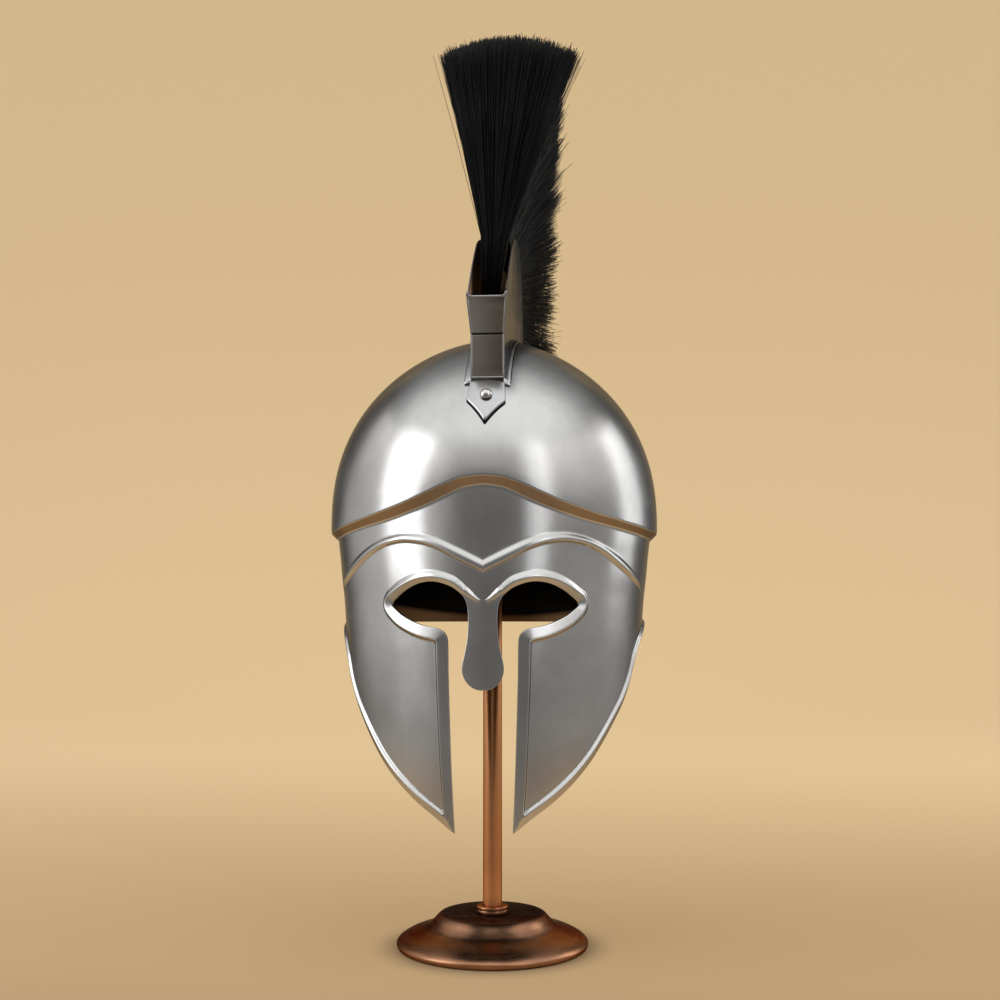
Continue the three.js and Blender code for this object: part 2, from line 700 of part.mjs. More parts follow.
// Straight strip that binds the roots and rests on the top of the crown.
function plumeBacking() {
  const rings = [];
  const steps = 10;
  const floor = CROWN.base + CROWN.rise + SEAT_GAP;
  const half = PLUME.backingHalf;
  for (let i = 0; i <= steps; i += 1) {
    const u = i / steps;
    const root = plumeRoot(u);
    const shoulder = Math.max(root.z, floor + 3);
    const top = plumePoint(u, 0.12, 0);
    top.setZ(Math.max(top.z, shoulder + 1));
    rings.push([
      crestPoint(-half, root.y, floor), crestPoint(half, root.y, floor),
      crestPoint(half, root.y, shoulder), top, crestPoint(-half, root.y, shoulder),
    ]);
  }
  return loft(rings);
}

function plume() {
  const pieces = [plumeBacking()];
  const step = 1 / (PLUME.rows - 1);
  for (let row = 0; row < PLUME.rows; row += 1) {
    for (const place of [-1, 0, 1]) pieces.push(lock(row * step, step, place));
  }
  return joined(pieces);
}

// Stand.

function standBase() {
  return turned([{ r: 0, z: 0 }, ...BASE_PROFILE, { r: 0, z: BASE_TOP }], BASE_STEPS);
}

function standCollar() {
  const low = BASE_TOP + SEAT_GAP;
  const high = low + COLLAR.height;
  const bore = POLE_RADIUS + SEAT_GAP;
  const { outer, round } = COLLAR;
  return turned([
    { r: bore, z: low }, { r: outer - round, z: low }, { r: outer, z: low + round },
    { r: outer - 0.3, z: (low + high) / 2 }, { r: outer, z: high - round }, { r: outer - round, z: high },
    { r: bore, z: high }, { r: bore, z: low },
  ], ROD_STEPS);
}

// Height of the rest's crown so that it clears the inside of the helmet by the seat gap.
function restTop() {
  let top = Infinity;
  for (let i = 0; i < 24; i += 1) {
    for (let r = 0; r <= REST.radius; r += 2) {
      const x = r * Math.cos((i * Math.PI) / 12);
      const y = r * Math.sin((i * Math.PI) / 12);
      const slopeX = crownHeight(x + 0.5, y) - crownHeight(x - 0.5, y);
      const slopeY = crownHeight(x, y + 0.5) - crownHeight(x, y - 0.5);
      const below = (SHEET + SEAT_GAP) * Math.hypot(1, slopeX, slopeY);
      const drop = REST.capRadius - Math.sqrt(REST.capRadius ** 2 - r * r);
      top = Math.min(top, crownHeight(x, y) - below + drop - 0.3);
    }
  }
  return top;
}

function standRest() {
  const top = restTop();
  const profile = [];
  const steps = 6;
  for (let i = 0; i < steps; i += 1) {
    const r = REST.radius * (1 - i / steps);
    profile.push({ r, z: top - (REST.capRadius - Math.sqrt(REST.capRadius ** 2 - r * r)) });
  }
  const under = profile[0].z - REST.edge;
  return turned([{ r: 0, z: under }, { r: REST.radius, z: under }, ...profile, { r: 0, z: top }], ROD_STEPS);
}

function standPole() {
  const low = BASE_TOP + SEAT_GAP;
  const drop = REST.capRadius - Math.sqrt(REST.capRadius ** 2 - REST.radius ** 2);
  const high = restTop() - drop - REST.edge - SEAT_GAP;
  const r = POLE_RADIUS;
  return turned([{ r: 0, z: low }, { r, z: low }, { r, z: high }, { r: 0, z: high }], ROD_STEPS);
}

const group = new THREE.Group();
group.name = 'crested_helmet_on_stand';

function place(name, solid, color, roughness, metalness) {
  const material = new THREE.MeshStandardMaterial({ color, roughness, metalness });
  const mesh = new THREE.Mesh(toGeometry(solid), material);
  mesh.name = name;
  group.add(mesh);
}

place('helmet_shell', helmetShell(), 0xb4b5b6, 0.24, 1);
place('crest_holder', crestHolder(), 0xb0aeac, 0.24, 1);
place('crest_rivet_front', rivet(RIVET.frontY), 0xc2c2c2, 0.22, 1);
place('crest_rivet_rear', rivet(RIVET.rearY), 0xc2c2c2, 0.22, 1);
place('plume', plume(), 0x0d0d0e, 0.6, 0);
place('stand_base', standBase(), 0x7a4328, 0.36, 1);
place('stand_collar', standCollar(), 0x8a4d2e, 0.34, 1);
place('stand_pole', standPole(), 0x95512e, 0.3, 1);
place('stand_rest', standRest(), 0x7a4328, 0.4, 1);

export default group;
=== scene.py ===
import math

import bpy
import numpy as np
from mathutils import Matrix, Vector
from mathutils.geometry import delaunay_2d_cdt
from mathutils.kdtree import KDTree


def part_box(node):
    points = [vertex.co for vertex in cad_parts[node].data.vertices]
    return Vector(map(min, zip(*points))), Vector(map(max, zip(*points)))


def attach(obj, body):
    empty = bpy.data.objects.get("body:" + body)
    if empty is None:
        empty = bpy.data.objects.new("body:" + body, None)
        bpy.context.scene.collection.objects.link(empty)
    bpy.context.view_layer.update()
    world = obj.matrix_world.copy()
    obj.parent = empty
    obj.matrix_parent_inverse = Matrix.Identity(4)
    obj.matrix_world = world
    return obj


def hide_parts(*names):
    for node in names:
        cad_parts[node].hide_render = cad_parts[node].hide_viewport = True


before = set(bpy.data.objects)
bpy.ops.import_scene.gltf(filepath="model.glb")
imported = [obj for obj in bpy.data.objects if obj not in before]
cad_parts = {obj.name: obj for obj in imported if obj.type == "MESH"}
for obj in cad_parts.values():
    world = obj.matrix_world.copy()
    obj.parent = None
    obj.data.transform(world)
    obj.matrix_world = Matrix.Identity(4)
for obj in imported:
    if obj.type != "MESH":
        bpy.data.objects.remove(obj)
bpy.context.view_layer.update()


# Foot of the stand: a disc of mild steel turned on a lathe to a low bell shape with a rolled lip,
# then copper plated and darkened, with the copper rubbed bright again on the lip and shoulder.
MM = 0.001
FOOT_SIDES = 144
FOOT_ROWS = [
    (61.5, 0.0), (62.9, 0.8), (63.5, 2.4), (63.1, 4.0), (61.0, 6.0), (57.0, 8.3), (52.0, 10.2),
    (47.0, 11.8), (43.2, 13.4), (39.8, 16.2), (36.6, 19.6), (34.6, 21.2), (32.8, 21.7),
]
FOOT_TOP = 21.7
SEAT_GAP = 0.3


def start_fresh():
    if bpy.context.mode != "OBJECT":
        bpy.ops.object.mode_set(mode="OBJECT")
    bpy.ops.object.select_all(action="DESELECT")


def spline_through(points, per_span):
    points = np.asarray(points, float)
    before = np.vstack([points[:1], points[:-1]])
    after = np.vstack([points[1:], points[-1:]])
    pull = (after - before) / 2
    steps = np.linspace(0, 1, per_span, endpoint=False)[:, None]
    out = []
    for i in range(len(points) - 1):
        a, b, ta, tb = points[i], points[i + 1], pull[i], pull[i + 1]
        s2, s3 = steps ** 2, steps ** 3
        start = (2 * s3 - 3 * s2 + 1) * a + (s3 - 2 * s2 + steps) * ta
        out.append(start + (3 * s2 - 2 * s3) * b + (s3 - s2) * tb)
    return np.vstack(out + [points[-1:]])


def turn_on_lathe(name, rows, sides, tube=False):
    start_fresh()
    radius, height = rows[0]
    bpy.ops.mesh.primitive_circle_add(
        vertices=sides, radius=radius * MM, fill_type="NOTHING" if tube else "NGON",
        location=(0, 0, height * MM))
    piece = bpy.context.object
    piece.name = piece.data.name = name
    bpy.ops.object.transform_apply(location=True)
    bpy.ops.object.mode_set(mode="EDIT")
    bpy.ops.mesh.select_all(action="SELECT")
    for wide, tall in rows[1:]:
        bpy.ops.mesh.extrude_region_move(TRANSFORM_OT_translate={"value": (0, 0, (tall - height) * MM)})
        if wide != radius:
            ratio = wide / radius
            bpy.ops.transform.resize(value=(ratio, ratio, 1), center_override=(0, 0, tall * MM))
        radius, height = wide, tall
    bpy.ops.mesh.select_all(action="SELECT")
    bpy.ops.mesh.remove_doubles(threshold=1e-6)
    bpy.ops.mesh.normals_make_consistent(inside=False)
    bpy.ops.object.mode_set(mode="OBJECT")
    bpy.ops.object.shade_smooth_by_angle(angle=math.radians(38))
    return piece


def node_in(tree, kind, **values):
    node = tree.nodes.new(kind)
    for key, value in values.items():
        if hasattr(node, key):
            setattr(node, key, value)
        else:
            node.inputs[key].default_value = value
    return node


def ramp_in(tree, stops):
    node = tree.nodes.new("ShaderNodeValToRGB")
    marks = node.color_ramp.elements
    while len(marks) < len(stops):
        marks.new(0.5)
    for mark, (place, colour) in zip(marks, stops):
        mark.position = place
        mark.color = (*colour, 1)
    return node


def grey(value):
    return (value, value, value)


def new_finish(name):
    finish = bpy.data.materials.new(name)
    finish.use_nodes = True
    tree = finish.node_tree
    return finish, tree, tree.nodes["Principled BSDF"]


COPPER_EDGE_TINT = (0.1, 0.1, 0.1)


def antique_copper(name, dark, bright, rubbed, rough, rings):
    finish, tree, skin = new_finish(name)
    link = tree.links.new
    place = node_in(tree, "ShaderNodeTexCoord")
    cloud = node_in(tree, "ShaderNodeTexNoise", Scale=26.0, Detail=6.0, Roughness=0.62)
    link(place.outputs["Object"], cloud.inputs["Vector"])
    spread = node_in(tree, "ShaderNodeMapping")
    spread.inputs["Scale"].default_value = rings
    link(place.outputs["Object"], spread.inputs["Vector"])
    brush = node_in(tree, "ShaderNodeTexNoise", Scale=1.0, Detail=5.0, Roughness=0.7)
    link(spread.outputs["Vector"], brush.inputs["Vector"])
    worn = node_in(tree, "ShaderNodeNewGeometry")
    edge = ramp_in(tree, [(0.49, grey(0)), (0.56, grey(1))])
    link(worn.outputs["Pointiness"], edge.inputs["Fac"])
    tone = ramp_in(tree, [(0.3, dark), (0.72, bright)])
    link(cloud.outputs["Fac"], tone.inputs["Fac"])
    rub = node_in(tree, "ShaderNodeMix", data_type="RGBA")
    rub.inputs["B"].default_value = (*rubbed, 1)
    link(tone.outputs["Color"], rub.inputs["A"])
    link(edge.outputs["Color"], rub.inputs["Factor"])
    link(rub.outputs["Result"], skin.inputs["Base Color"])
    gloss = ramp_in(tree, [(0.3, grey(rough - 0.06)), (0.7, grey(rough + 0.08))])
    link(brush.outputs["Fac"], gloss.inputs["Fac"])
    link(gloss.outputs["Color"], skin.inputs["Roughness"])
    bump = node_in(tree, "ShaderNodeBump", Strength=0.05, Distance=0.0004)
    link(brush.outputs["Fac"], bump.inputs["Height"])
    link(bump.outputs["Normal"], skin.inputs["Normal"])
    skin.inputs["Metallic"].default_value = 1.0
    skin.inputs["Specular Tint"].default_value = (*COPPER_EDGE_TINT, 1)
    return finish


def tint_along(finish, axis, low, high, colour, blend="SMOOTHSTEP"):
    tree = finish.node_tree
    link = tree.links.new
    under = tree.nodes["Principled BSDF"].inputs["Base Color"]
    place = node_in(tree, "ShaderNodeTexCoord")
    axes = node_in(tree, "ShaderNodeSeparateXYZ")
    link(place.outputs["Object"], axes.inputs["Vector"])
    amount = node_in(tree, "ShaderNodeMapRange", interpolation_type=blend)
    amount.inputs["From Min"].default_value = low
    amount.inputs["From Max"].default_value = high
    link(axes.outputs[axis], amount.inputs["Value"])
    tone = node_in(tree, "ShaderNodeMix", data_type="RGBA")
    tone.inputs["B"].default_value = (*colour, 1)
    link(amount.outputs["Result"], tone.inputs["Factor"])
    link(under.links[0].from_socket, tone.inputs["A"])
    link(tone.outputs["Result"], under)


foot_copper = antique_copper(
    "antique_copper_foot", (0.135, 0.07, 0.045), (0.43, 0.215, 0.125), (0.80, 0.42, 0.24),
    0.30, (90, 90, 900))
# The flat top of the foot keeps its dark patina.
tint_along(foot_copper, "Z", (FOOT_TOP - 1.2) * MM, (FOOT_TOP - 0.2) * MM, (0.21, 0.145, 0.112))
foot_profile = [tuple(row) for row in spline_through(FOOT_ROWS, 5)]
stand_foot = turn_on_lathe("stand_foot_turned", foot_profile, FOOT_SIDES)
stand_foot.data.materials.append(foot_copper)
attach(stand_foot, "root")
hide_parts("stand_base")


# Collar: a short turned copper ring with a shallow groove round its middle, slipped over the rod
# and screwed down on the foot.
COLLAR_OUTER, COLLAR_TALL, ROD_RADIUS = 10.6, 4.4, 6.35
collar_low = FOOT_TOP + SEAT_GAP
collar_high = collar_low + COLLAR_TALL
collar_bore = ROD_RADIUS + SEAT_GAP
collar_rows = [
    (collar_bore, collar_low), (COLLAR_OUTER - 0.7, collar_low), (COLLAR_OUTER - 0.2, collar_low + 0.25),
    (COLLAR_OUTER, collar_low + 0.8), (COLLAR_OUTER, collar_low + 1.4),
    (COLLAR_OUTER - 0.25, collar_low + 1.9),
    (COLLAR_OUTER - 0.3, collar_low + 2.2), (COLLAR_OUTER - 0.25, collar_low + 2.5),
    (COLLAR_OUTER, collar_high - 1.4), (COLLAR_OUTER, collar_high - 0.8),
    (COLLAR_OUTER - 0.2, collar_high - 0.25),
    (COLLAR_OUTER - 0.7, collar_high), (collar_bore, collar_high), (collar_bore, collar_low),
]
stand_collar = turn_on_lathe("stand_collar_turned", collar_rows, 72, tube=True)
collar_copper = antique_copper(
    "antique_copper_collar", (0.20, 0.085, 0.045), (0.40, 0.18, 0.095), (0.66, 0.33, 0.19),
    0.28, (120, 120, 1500))
stand_collar.data.materials.append(collar_copper)
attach(stand_collar, "root")
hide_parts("stand_collar")


# Rod: straight copper plated round bar from the foot to the rest inside the crown,
# drawn smooth along its length.
rod_low = FOOT_TOP + SEAT_GAP
rod_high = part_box("stand_pole")[1][2] / MM
rod_rows = [(ROD_RADIUS - 0.4, rod_low), (ROD_RADIUS, rod_low + 0.4)]
rod_rows += [(ROD_RADIUS, rod_low + (rod_high - rod_low) * k / 12) for k in range(1, 12)]
rod_rows += [(ROD_RADIUS, rod_high - 0.4), (ROD_RADIUS - 0.4, rod_high)]
stand_rod = turn_on_lathe("stand_rod_drawn", rod_rows, 64)
rod_copper = antique_copper(
    "antique_copper_rod", (0.46, 0.195, 0.092), (0.62, 0.28, 0.135), (0.80, 0.40, 0.21),
    0.3, (900, 900, 12))
# The rod's colour is painted brighter higher up: a painted reflection standing in for the bright light the
# upper rod reflects.
tint_along(rod_copper, "Z", 0.05, 0.16, (0.97, 0.47, 0.215), blend="LINEAR")
stand_rod.data.materials.append(rod_copper)
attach(stand_rod, "root")
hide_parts("stand_pole")


# Rest: a plain domed copper plated button, turned and screwed on top of the rod,
# that carries the crown from inside.
REST_RADIUS, REST_CAP, REST_EDGE = 22.0, 64.0, 5.0
rest_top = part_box("stand_rest")[1][2] / MM
rest_rim = rest_top - (REST_CAP - math.sqrt(REST_CAP ** 2 - REST_RADIUS ** 2))
rest_rows = [
    (REST_RADIUS - 0.6, rest_rim - REST_EDGE), (REST_RADIUS, rest_rim - REST_EDGE + 0.6),
    (REST_RADIUS, rest_rim - 0.2),
]
for k in range(1, 16):
    ring = REST_RADIUS * (1 - k / 16)
    rest_rows.append((ring, rest_top - (REST_CAP - math.sqrt(REST_CAP ** 2 - ring ** 2))))
stand_rest = turn_on_lathe("stand_rest_domed", rest_rows, 72)
stand_rest.data.materials.append(foot_copper)
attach(stand_rest, "root")
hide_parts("stand_rest")


# Helmet shell: one bowl of mild steel sheet raised over a stake, with a stepped edge round the crown,
# hammered brow ridges and turned-up rims, the eyes and face slot sawn out, polished bright outside,
# with painted shade on the inside and under the step.
SHEET = 1.5
OVAL_Y = 22.0
CROWN_HALF, CROWN_FRONT, CROWN_REAR = 112.8, 125.0, 129.5
CROWN_BASE, CROWN_RISE, CROWN_UP, CROWN_OUT = 278.6, 131.8, 2.346, 1.683
WALL_Z = [60, 90, 140, 180, 200, 215, 230, 243, 257, 270, 285, 300, 320]
WALL_HALF = [84, 90, 96.5, 99.6, 101, 102, 103.2, 104.8, 106.2, 107.6, 108, 107, 104]
WALL_FRONT = [110, 112, 116.5, 118.6, 119.4, 119.8, 120, 120, 119.8, 119.4, 118.6, 117.5, 115]
WALL_REAR = [114, 117, 121, 124, 126.5, 127, 125.5, 124.6, 124.2, 124, 123, 121.5, 119]
STEP_DEG = [0, 6, 12, 19, 26, 34, 42, 59, 73, 95, 180]
STEP_UPPER = [304, 302.9, 299.2, 293.6, 288.5, 284.1, 280.8, 276.2, 274.4, 273.8, 273.8]
STEP_LOWER = [298, 296.4, 291.6, 286, 281.8, 278, 275.4, 271.6, 269.6, 268.6, 268.6]
LOWER_DEG = [0, 8, 12.2, 18, 28, 36.5, 43.5, 49.5, 55.5, 61.8, 67, 71, 77, 88, 104, 130, 180]
LOWER_Z = [78, 84, 88, 95, 106, 117.2, 128.4, 140, 151.7, 163.6, 176, 189, 199.5, 208, 212, 213, 213]
OPENING_EDGE = [
    (0, 173.2), (5, 174.2), (9.4, 177.4), (12.2, 182.4), (12.7, 188), (11, 196), (9.4, 205), (8.9, 214),
    (9.2, 222), (10.6, 227.6), (13.8, 232), (20.5, 236.5), (30.5, 239.2), (40.5, 238.2), (49.2, 234.2),
    (55.5, 229.3), (57.7, 227.3), (58.4, 225.6), (57.5, 223.8), (55, 221.6), (50.6, 218.2), (43, 214.4),
    (35.5, 212), (28.2, 210.6), (24, 208.4), (22, 204.8), (21.5, 199), (21.3, 180), (20.4, 150),
    (19.4, 120), (17.9, 88), (17, 70),
]
# Rim by place along the opening's edge: nearest edge point, width from edge to ridge,
# height of the ridge and width of the slope beyond it.
RIM_TAPER = [(2.8, 227.0, 0.6, 0.45, 1.0), (6.6, 228.5, 1.5, 1.0, 1.9)]
RIM_ROWS = [
    (11.2, 230.4, 2.4, 1.5, 2.8), (20.5, 236.5, 2.8, 2.0, 4.0), (30.5, 239.2, 2.8, 2.0, 4.2),
    (40.5, 238.2, 2.9, 2.0, 4.2), (49.2, 234.2, 3.2, 2.0, 4.0), (55.5, 229.3, 3.7, 2.0, 3.6),
    (58.4, 225.6, 4.4, 2.0, 3.2), (55, 221.6, 5.2, 2.0, 2.7), (50.6, 218.2, 5.7, 2.0, 2.4),
    (43, 214.4, 6.0, 2.0, 2.3), (35.5, 212, 6.2, 2.0, 2.2), (23.4, 207.6, 6.6, 2.0, 2.0),
    (21.4, 190, 6.3, 2.0, 1.8), (20.4, 150, 6.1, 2.0, 1.7), (19.2, 115, 5.8, 2.0, 1.7),
    (18.1, 88.4, 5.2, 2.0, 1.7),
]
RIM_LOWER = (5.0, 1.8, 1.7)
BROW_X = [0, 15, 30, 40, 50, 60, 71, 83, 92, 98, 100.4]
BROW_LOWER = [244.7, 251.8, 259.6, 262.6, 263.7, 262.4, 257.9, 249.6, 242.2, 236.5, 233.4]
BROW_UPPER = [252, 259.6, 266.2, 268.6, 269.3, 267.9, 264.2, 256.9, 248.6, 240, 234.6]
BROW_RISE, BROW_END, BROW_FULL = 2.3, 6, 5
RIM_BASE, RIM_START = 0.12, (0.06, 0.94)
CROWN_COLUMNS, CROWN_ROWS = 96, 44
EDGE_PITCH, FINE_PITCH, SHEET_PITCH = 1.0, 0.3, 3.0


def curve_at(keys, values, at):
    keys, values = np.asarray(keys, float), np.asarray(values, float)
    at = np.clip(np.asarray(at, float), keys[0], keys[-1])
    span = np.diff(keys)
    rate = np.diff(values) / span
    product, total = rate[:-1] * rate[1:], rate[:-1] + rate[1:]
    inner = np.where(product > 0, 2 * product / np.where(total == 0, 1, total), 0)
    slope = np.concatenate([rate[:1], inner, rate[-1:]])
    i = np.clip(np.searchsorted(keys, at, side="right") - 1, 0, len(keys) - 2)
    s = (at - keys[i]) / span[i]
    rising = s * s * (3 - 2 * s)
    bend = span[i] * (s * (1 - s) ** 2 * slope[i] + s * s * (s - 1) * slope[i + 1])
    return values[i] + (values[i + 1] - values[i]) * rising + bend


def wall_point(angle, z):
    reach = np.where(np.cos(angle) > 0, curve_at(WALL_Z, WALL_FRONT, z), curve_at(WALL_Z, WALL_REAR, z))
    half = curve_at(WALL_Z, WALL_HALF, z)
    return np.stack([half * np.sin(angle), OVAL_Y - reach * np.cos(angle), z], axis=-1)


def unit(vectors):
    return vectors / np.linalg.norm(vectors, axis=-1, keepdims=True)


def wall_normal(angle, z):
    along = wall_point(angle + 0.002, z) - wall_point(angle - 0.002, z)
    up = wall_point(angle, z + 0.2) - wall_point(angle, z - 0.2)
    return unit(np.cross(along, up))


def crown_point(angle, tilt):
    share = np.maximum(np.cos(tilt), 0) ** (2 / CROWN_OUT)
    z = CROWN_BASE + CROWN_RISE * np.sin(tilt) ** (2 / CROWN_UP)
    reach = np.where(np.cos(angle) > 0, CROWN_FRONT, CROWN_REAR)
    x, y = CROWN_HALF * share * np.sin(angle), OVAL_Y - reach * share * np.cos(angle)
    return np.stack([x, y, z + 0 * share], axis=-1)


def crown_height(x, y):
    reach = np.where(y < OVAL_Y, CROWN_FRONT, CROWN_REAR)
    share = np.hypot(x / CROWN_HALF, (y - OVAL_Y) / reach)
    return CROWN_BASE + CROWN_RISE * (1 - share ** CROWN_OUT) ** (1 / CROWN_UP)


# Flat pattern of half the wall: distance round the oval against height.
girth_angle = np.linspace(0, math.pi, 2001)
girth_points = wall_point(girth_angle, np.full(2001, 205.0))
girth = np.concatenate([[0], np.cumsum(np.linalg.norm(np.diff(girth_points, axis=0), axis=1))])


def to_flat(x, z):
    angle = np.arcsin(x / curve_at(WALL_Z, WALL_HALF, z))
    return np.stack([np.interp(angle, girth_angle, girth), z], axis=-1)


def angle_of(flat_s):
    return np.interp(flat_s, girth, girth_angle)


def even_spacing(points, pitch):
    run = np.concatenate([[0], np.cumsum(np.linalg.norm(np.diff(points, axis=0), axis=1))])
    count = max(int(round(run[-1] / pitch)), 1)
    at = np.linspace(0, run[-1], count + 1)
    return np.stack([np.interp(at, run, points[:, k]) for k in range(points.shape[1])], axis=-1)


def lower_edge(flat_s):
    return curve_at(LOWER_DEG, LOWER_Z, np.degrees(angle_of(flat_s)))


def step_edge(angle, heights):
    return curve_at(STEP_DEG, heights, np.degrees(angle))


sawn = spline_through(OPENING_EDGE, 24)
sawn = to_flat(sawn[:, 0], sawn[:, 1])
below = (sawn[:, 1] < lower_edge(sawn[:, 0])) & (sawn[:, 1] < 150)
sawn = sawn[:np.argmax(below)]
tip = np.array([sawn[-1, 0], lower_edge(sawn[-1, 0])])
sawn_fine = even_spacing(np.vstack([sawn[:-1], tip]), FINE_PITCH)
sawn = even_spacing(sawn_fine, EDGE_PITCH)
hem_s = np.linspace(tip[0], girth[-1], 1200)
hem_fine = even_spacing(np.stack([hem_s, lower_edge(hem_s)], axis=-1), FINE_PITCH)
hem = even_spacing(hem_fine, EDGE_PITCH)
FILLET = 1.4
column_angle = np.linspace(0, math.pi, CROWN_COLUMNS + 1)
ledge_z = step_edge(column_angle, STEP_LOWER) - FILLET
ledge = np.stack([np.interp(column_angle, girth_angle, girth), ledge_z], axis=-1)
rear_line = even_spacing(np.array([hem[-1], ledge[-1]]), SHEET_PITCH)
front_line = even_spacing(np.array([ledge[0], sawn[0]]), SHEET_PITCH * 0.7)
outline = np.vstack([sawn, hem[1:], rear_line[1:], ledge[::-1][1:], front_line[1:-1]])
free_count = len(sawn) + len(hem) - 1

# Line that the rim follows, with the ridge's distance, height and outer slope along it.
join = int(np.argmin(np.linalg.norm(sawn_fine - to_flat(np.array([13.8]), np.array([232.0])), axis=1)))
taper = np.array(RIM_TAPER)
taper_line = np.vstack([to_flat(taper[:, 0], taper[:, 1]), sawn_fine[join]])
rim_line = np.vstack([even_spacing(taper_line, FINE_PITCH)[:-1], sawn_fine[join:], hem_fine[1:]])
rim_run = np.concatenate([[0], np.cumsum(np.linalg.norm(np.diff(rim_line, axis=0), axis=1))])
rows = np.array(RIM_TAPER + RIM_ROWS)
marks = to_flat(rows[:, 0], rows[:, 1])
mark_run = rim_run[[int(np.argmin(np.linalg.norm(rim_line - mark, axis=1))) for mark in marks]]
mark_run = np.append(mark_run, [mark_run[-1] + 16, rim_run[-1]])
rim_out, rim_rise, rim_foot = [
    np.interp(rim_run, mark_run, np.append(rows[:, 2 + k], [RIM_LOWER[k]] * 2)) for k in range(3)]
rim_way = unit(np.gradient(rim_line, axis=0))
rim_aside = np.stack([-rim_way[:, 1], rim_way[:, 0]], axis=-1)


def nearest_on(line, points):
    tree = KDTree(len(line))
    for i, (along, height) in enumerate(line):
        tree.insert((along, height, 0), i)
    tree.balance()
    found = [tree.find((along, height, 0)) for along, height in points]
    return np.array([hit[2] for hit in found]), np.array([hit[1] for hit in found])


def distance_to(line, points):
    gap, which = nearest_on(line, points)
    for other in (-1, 1):
        there = np.clip(which + other, 0, len(line) - 1)
        side = line[there] - line[which]
        length = np.maximum((side ** 2).sum(axis=1), 1e-9)
        share = np.clip(((points - line[which]) * side).sum(axis=1) / length, 0, 1)
        gap = np.minimum(gap, np.linalg.norm(points - line[which] - side * share[:, None], axis=1))
    return gap, which


def inside_outline(points):
    x, y = points[:, 0], points[:, 1]
    hit = np.zeros(len(points), bool)
    for (ax, ay), (bx, by) in zip(outline, np.roll(outline, -1, axis=0)):
        if ay == by:
            continue
        crosses = ((ay > y) != (by > y)) & (x < (bx - ax) * (y - ay) / (by - ay) + ax)
        hit ^= crosses
    return hit


def gentle_min(a, b, width):
    blend = np.clip(0.5 + 0.5 * (b - a) / width, 0, 1)
    return b + (a - b) * blend - width * blend * (1 - blend)


def rim_height(points):
    gap, which = distance_to(rim_line, points)
    side = ((points - rim_line[which]) * rim_aside[which]).sum(axis=1)
    out, rise, foot = rim_out[which], rim_rise[which], rim_foot[which]
    slope_in = rise * (RIM_START[0] + RIM_START[1] * gap / out) + RIM_BASE
    beyond = np.maximum(gap - out, 0) / foot
    slope_off = (rise + RIM_BASE) * (1 - beyond ** 1.25)
    height = -gentle_min(-gentle_min(slope_in, slope_off, 0.4), np.zeros(len(points)), 0.25)
    fade = np.where(side < 0, np.exp(-(np.minimum(side, 0) / 0.5) ** 2), 1)
    return np.maximum(height - 0.02, 0) * fade


def brow_height(points):
    x = wall_point(angle_of(points[:, 0]), points[:, 1])[:, 0]
    low, high = curve_at(BROW_X, BROW_LOWER, x), curve_at(BROW_X, BROW_UPPER, x)
    wide = high - low
    share = (points[:, 1] - low) / wide
    end = np.clip((BROW_X[-1] - x) / BROW_END, 0, 1)
    rise = BROW_RISE * np.minimum(wide / BROW_FULL, 1) * end * (2 - end)
    shape = curve_at([-0.3, -0.06, 0.06, 0.2, 0.34, 0.5, 0.7, 0.9, 1.1, 1.3],
                     [0, 0.0, 0.4, 0.9, 1.0, 0.95, 0.66, 0.24, 0.0, 0], share)
    front_half = angle_of(points[:, 0]) < math.pi / 2
    return np.where((x < BROW_X[-1]) & front_half & (share > -0.3) & (share < 1.3), rise * shape, 0)


def relief_place(points):
    angle = angle_of(points[:, 0])
    raised = np.maximum(rim_height(points), brow_height(points))
    return wall_point(angle, points[:, 1]) + wall_normal(angle, points[:, 1]) * raised[:, None]


ROW_PITCH = 1.25
RIM_SHARES = (0.25, 0.5, 0.75)
RIM_OFFSETS = (-0.7, -0.35, 0.0, 0.35, 0.8)
FOOT_SHARES = (0.5, 0.75, 0.92, 1.0)
FOOT_OFFSETS = (0.35, 1.0)
pattern = []
rim_rows_away = [rim_out * share for share in RIM_SHARES]
rim_rows_away += [rim_out + offset for offset in RIM_OFFSETS]
rim_rows_away += [rim_out + rim_foot * share for share in FOOT_SHARES]
rim_rows_away += [rim_out + rim_foot + offset for offset in FOOT_OFFSETS]
for away in rim_rows_away:
    row = rim_line + rim_aside * away[:, None]
    true_gap, _ = distance_to(rim_line, row)
    pattern.append(even_spacing(row[(away > 0.25) & (true_gap > away - 0.05)], ROW_PITCH))
free = outline[:free_count]
free_way = unit(np.gradient(free, axis=0))
free_aside = np.stack([-free_way[:, 1], free_way[:, 0]], axis=-1)
for offset in (0.4, 0.85):
    row = free + free_aside * offset
    true_gap, _ = distance_to(free, row)
    pattern.append(row[true_gap > offset - 0.04])
brow_x = np.arange(0.0, BROW_X[-1], 0.1)
for share in (-0.28, -0.14, -0.06, 0.0, 0.07, 0.2, 0.34, 0.5, 0.7, 0.9, 1.08, 1.25):
    low, high = curve_at(BROW_X, BROW_LOWER, brow_x), curve_at(BROW_X, BROW_UPPER, brow_x)
    pattern.append(even_spacing(to_flat(brow_x, low + (high - low) * share), ROW_PITCH))
relief = np.vstack(pattern)
closed_outline = np.vstack([outline, outline[:1]])
gap, _ = distance_to(closed_outline, relief)
relief = relief[inside_outline(relief) & (gap > 0.3)]
# A point that falls in a cell with an earlier one is dropped.
CELL = 0.34
taken, chosen = set(), []
for point in relief:
    cell = (int(point[0] / CELL), int(point[1] / CELL))
    if cell not in taken:
        taken.add(cell)
        chosen.append(point)
relief = np.array(chosen)


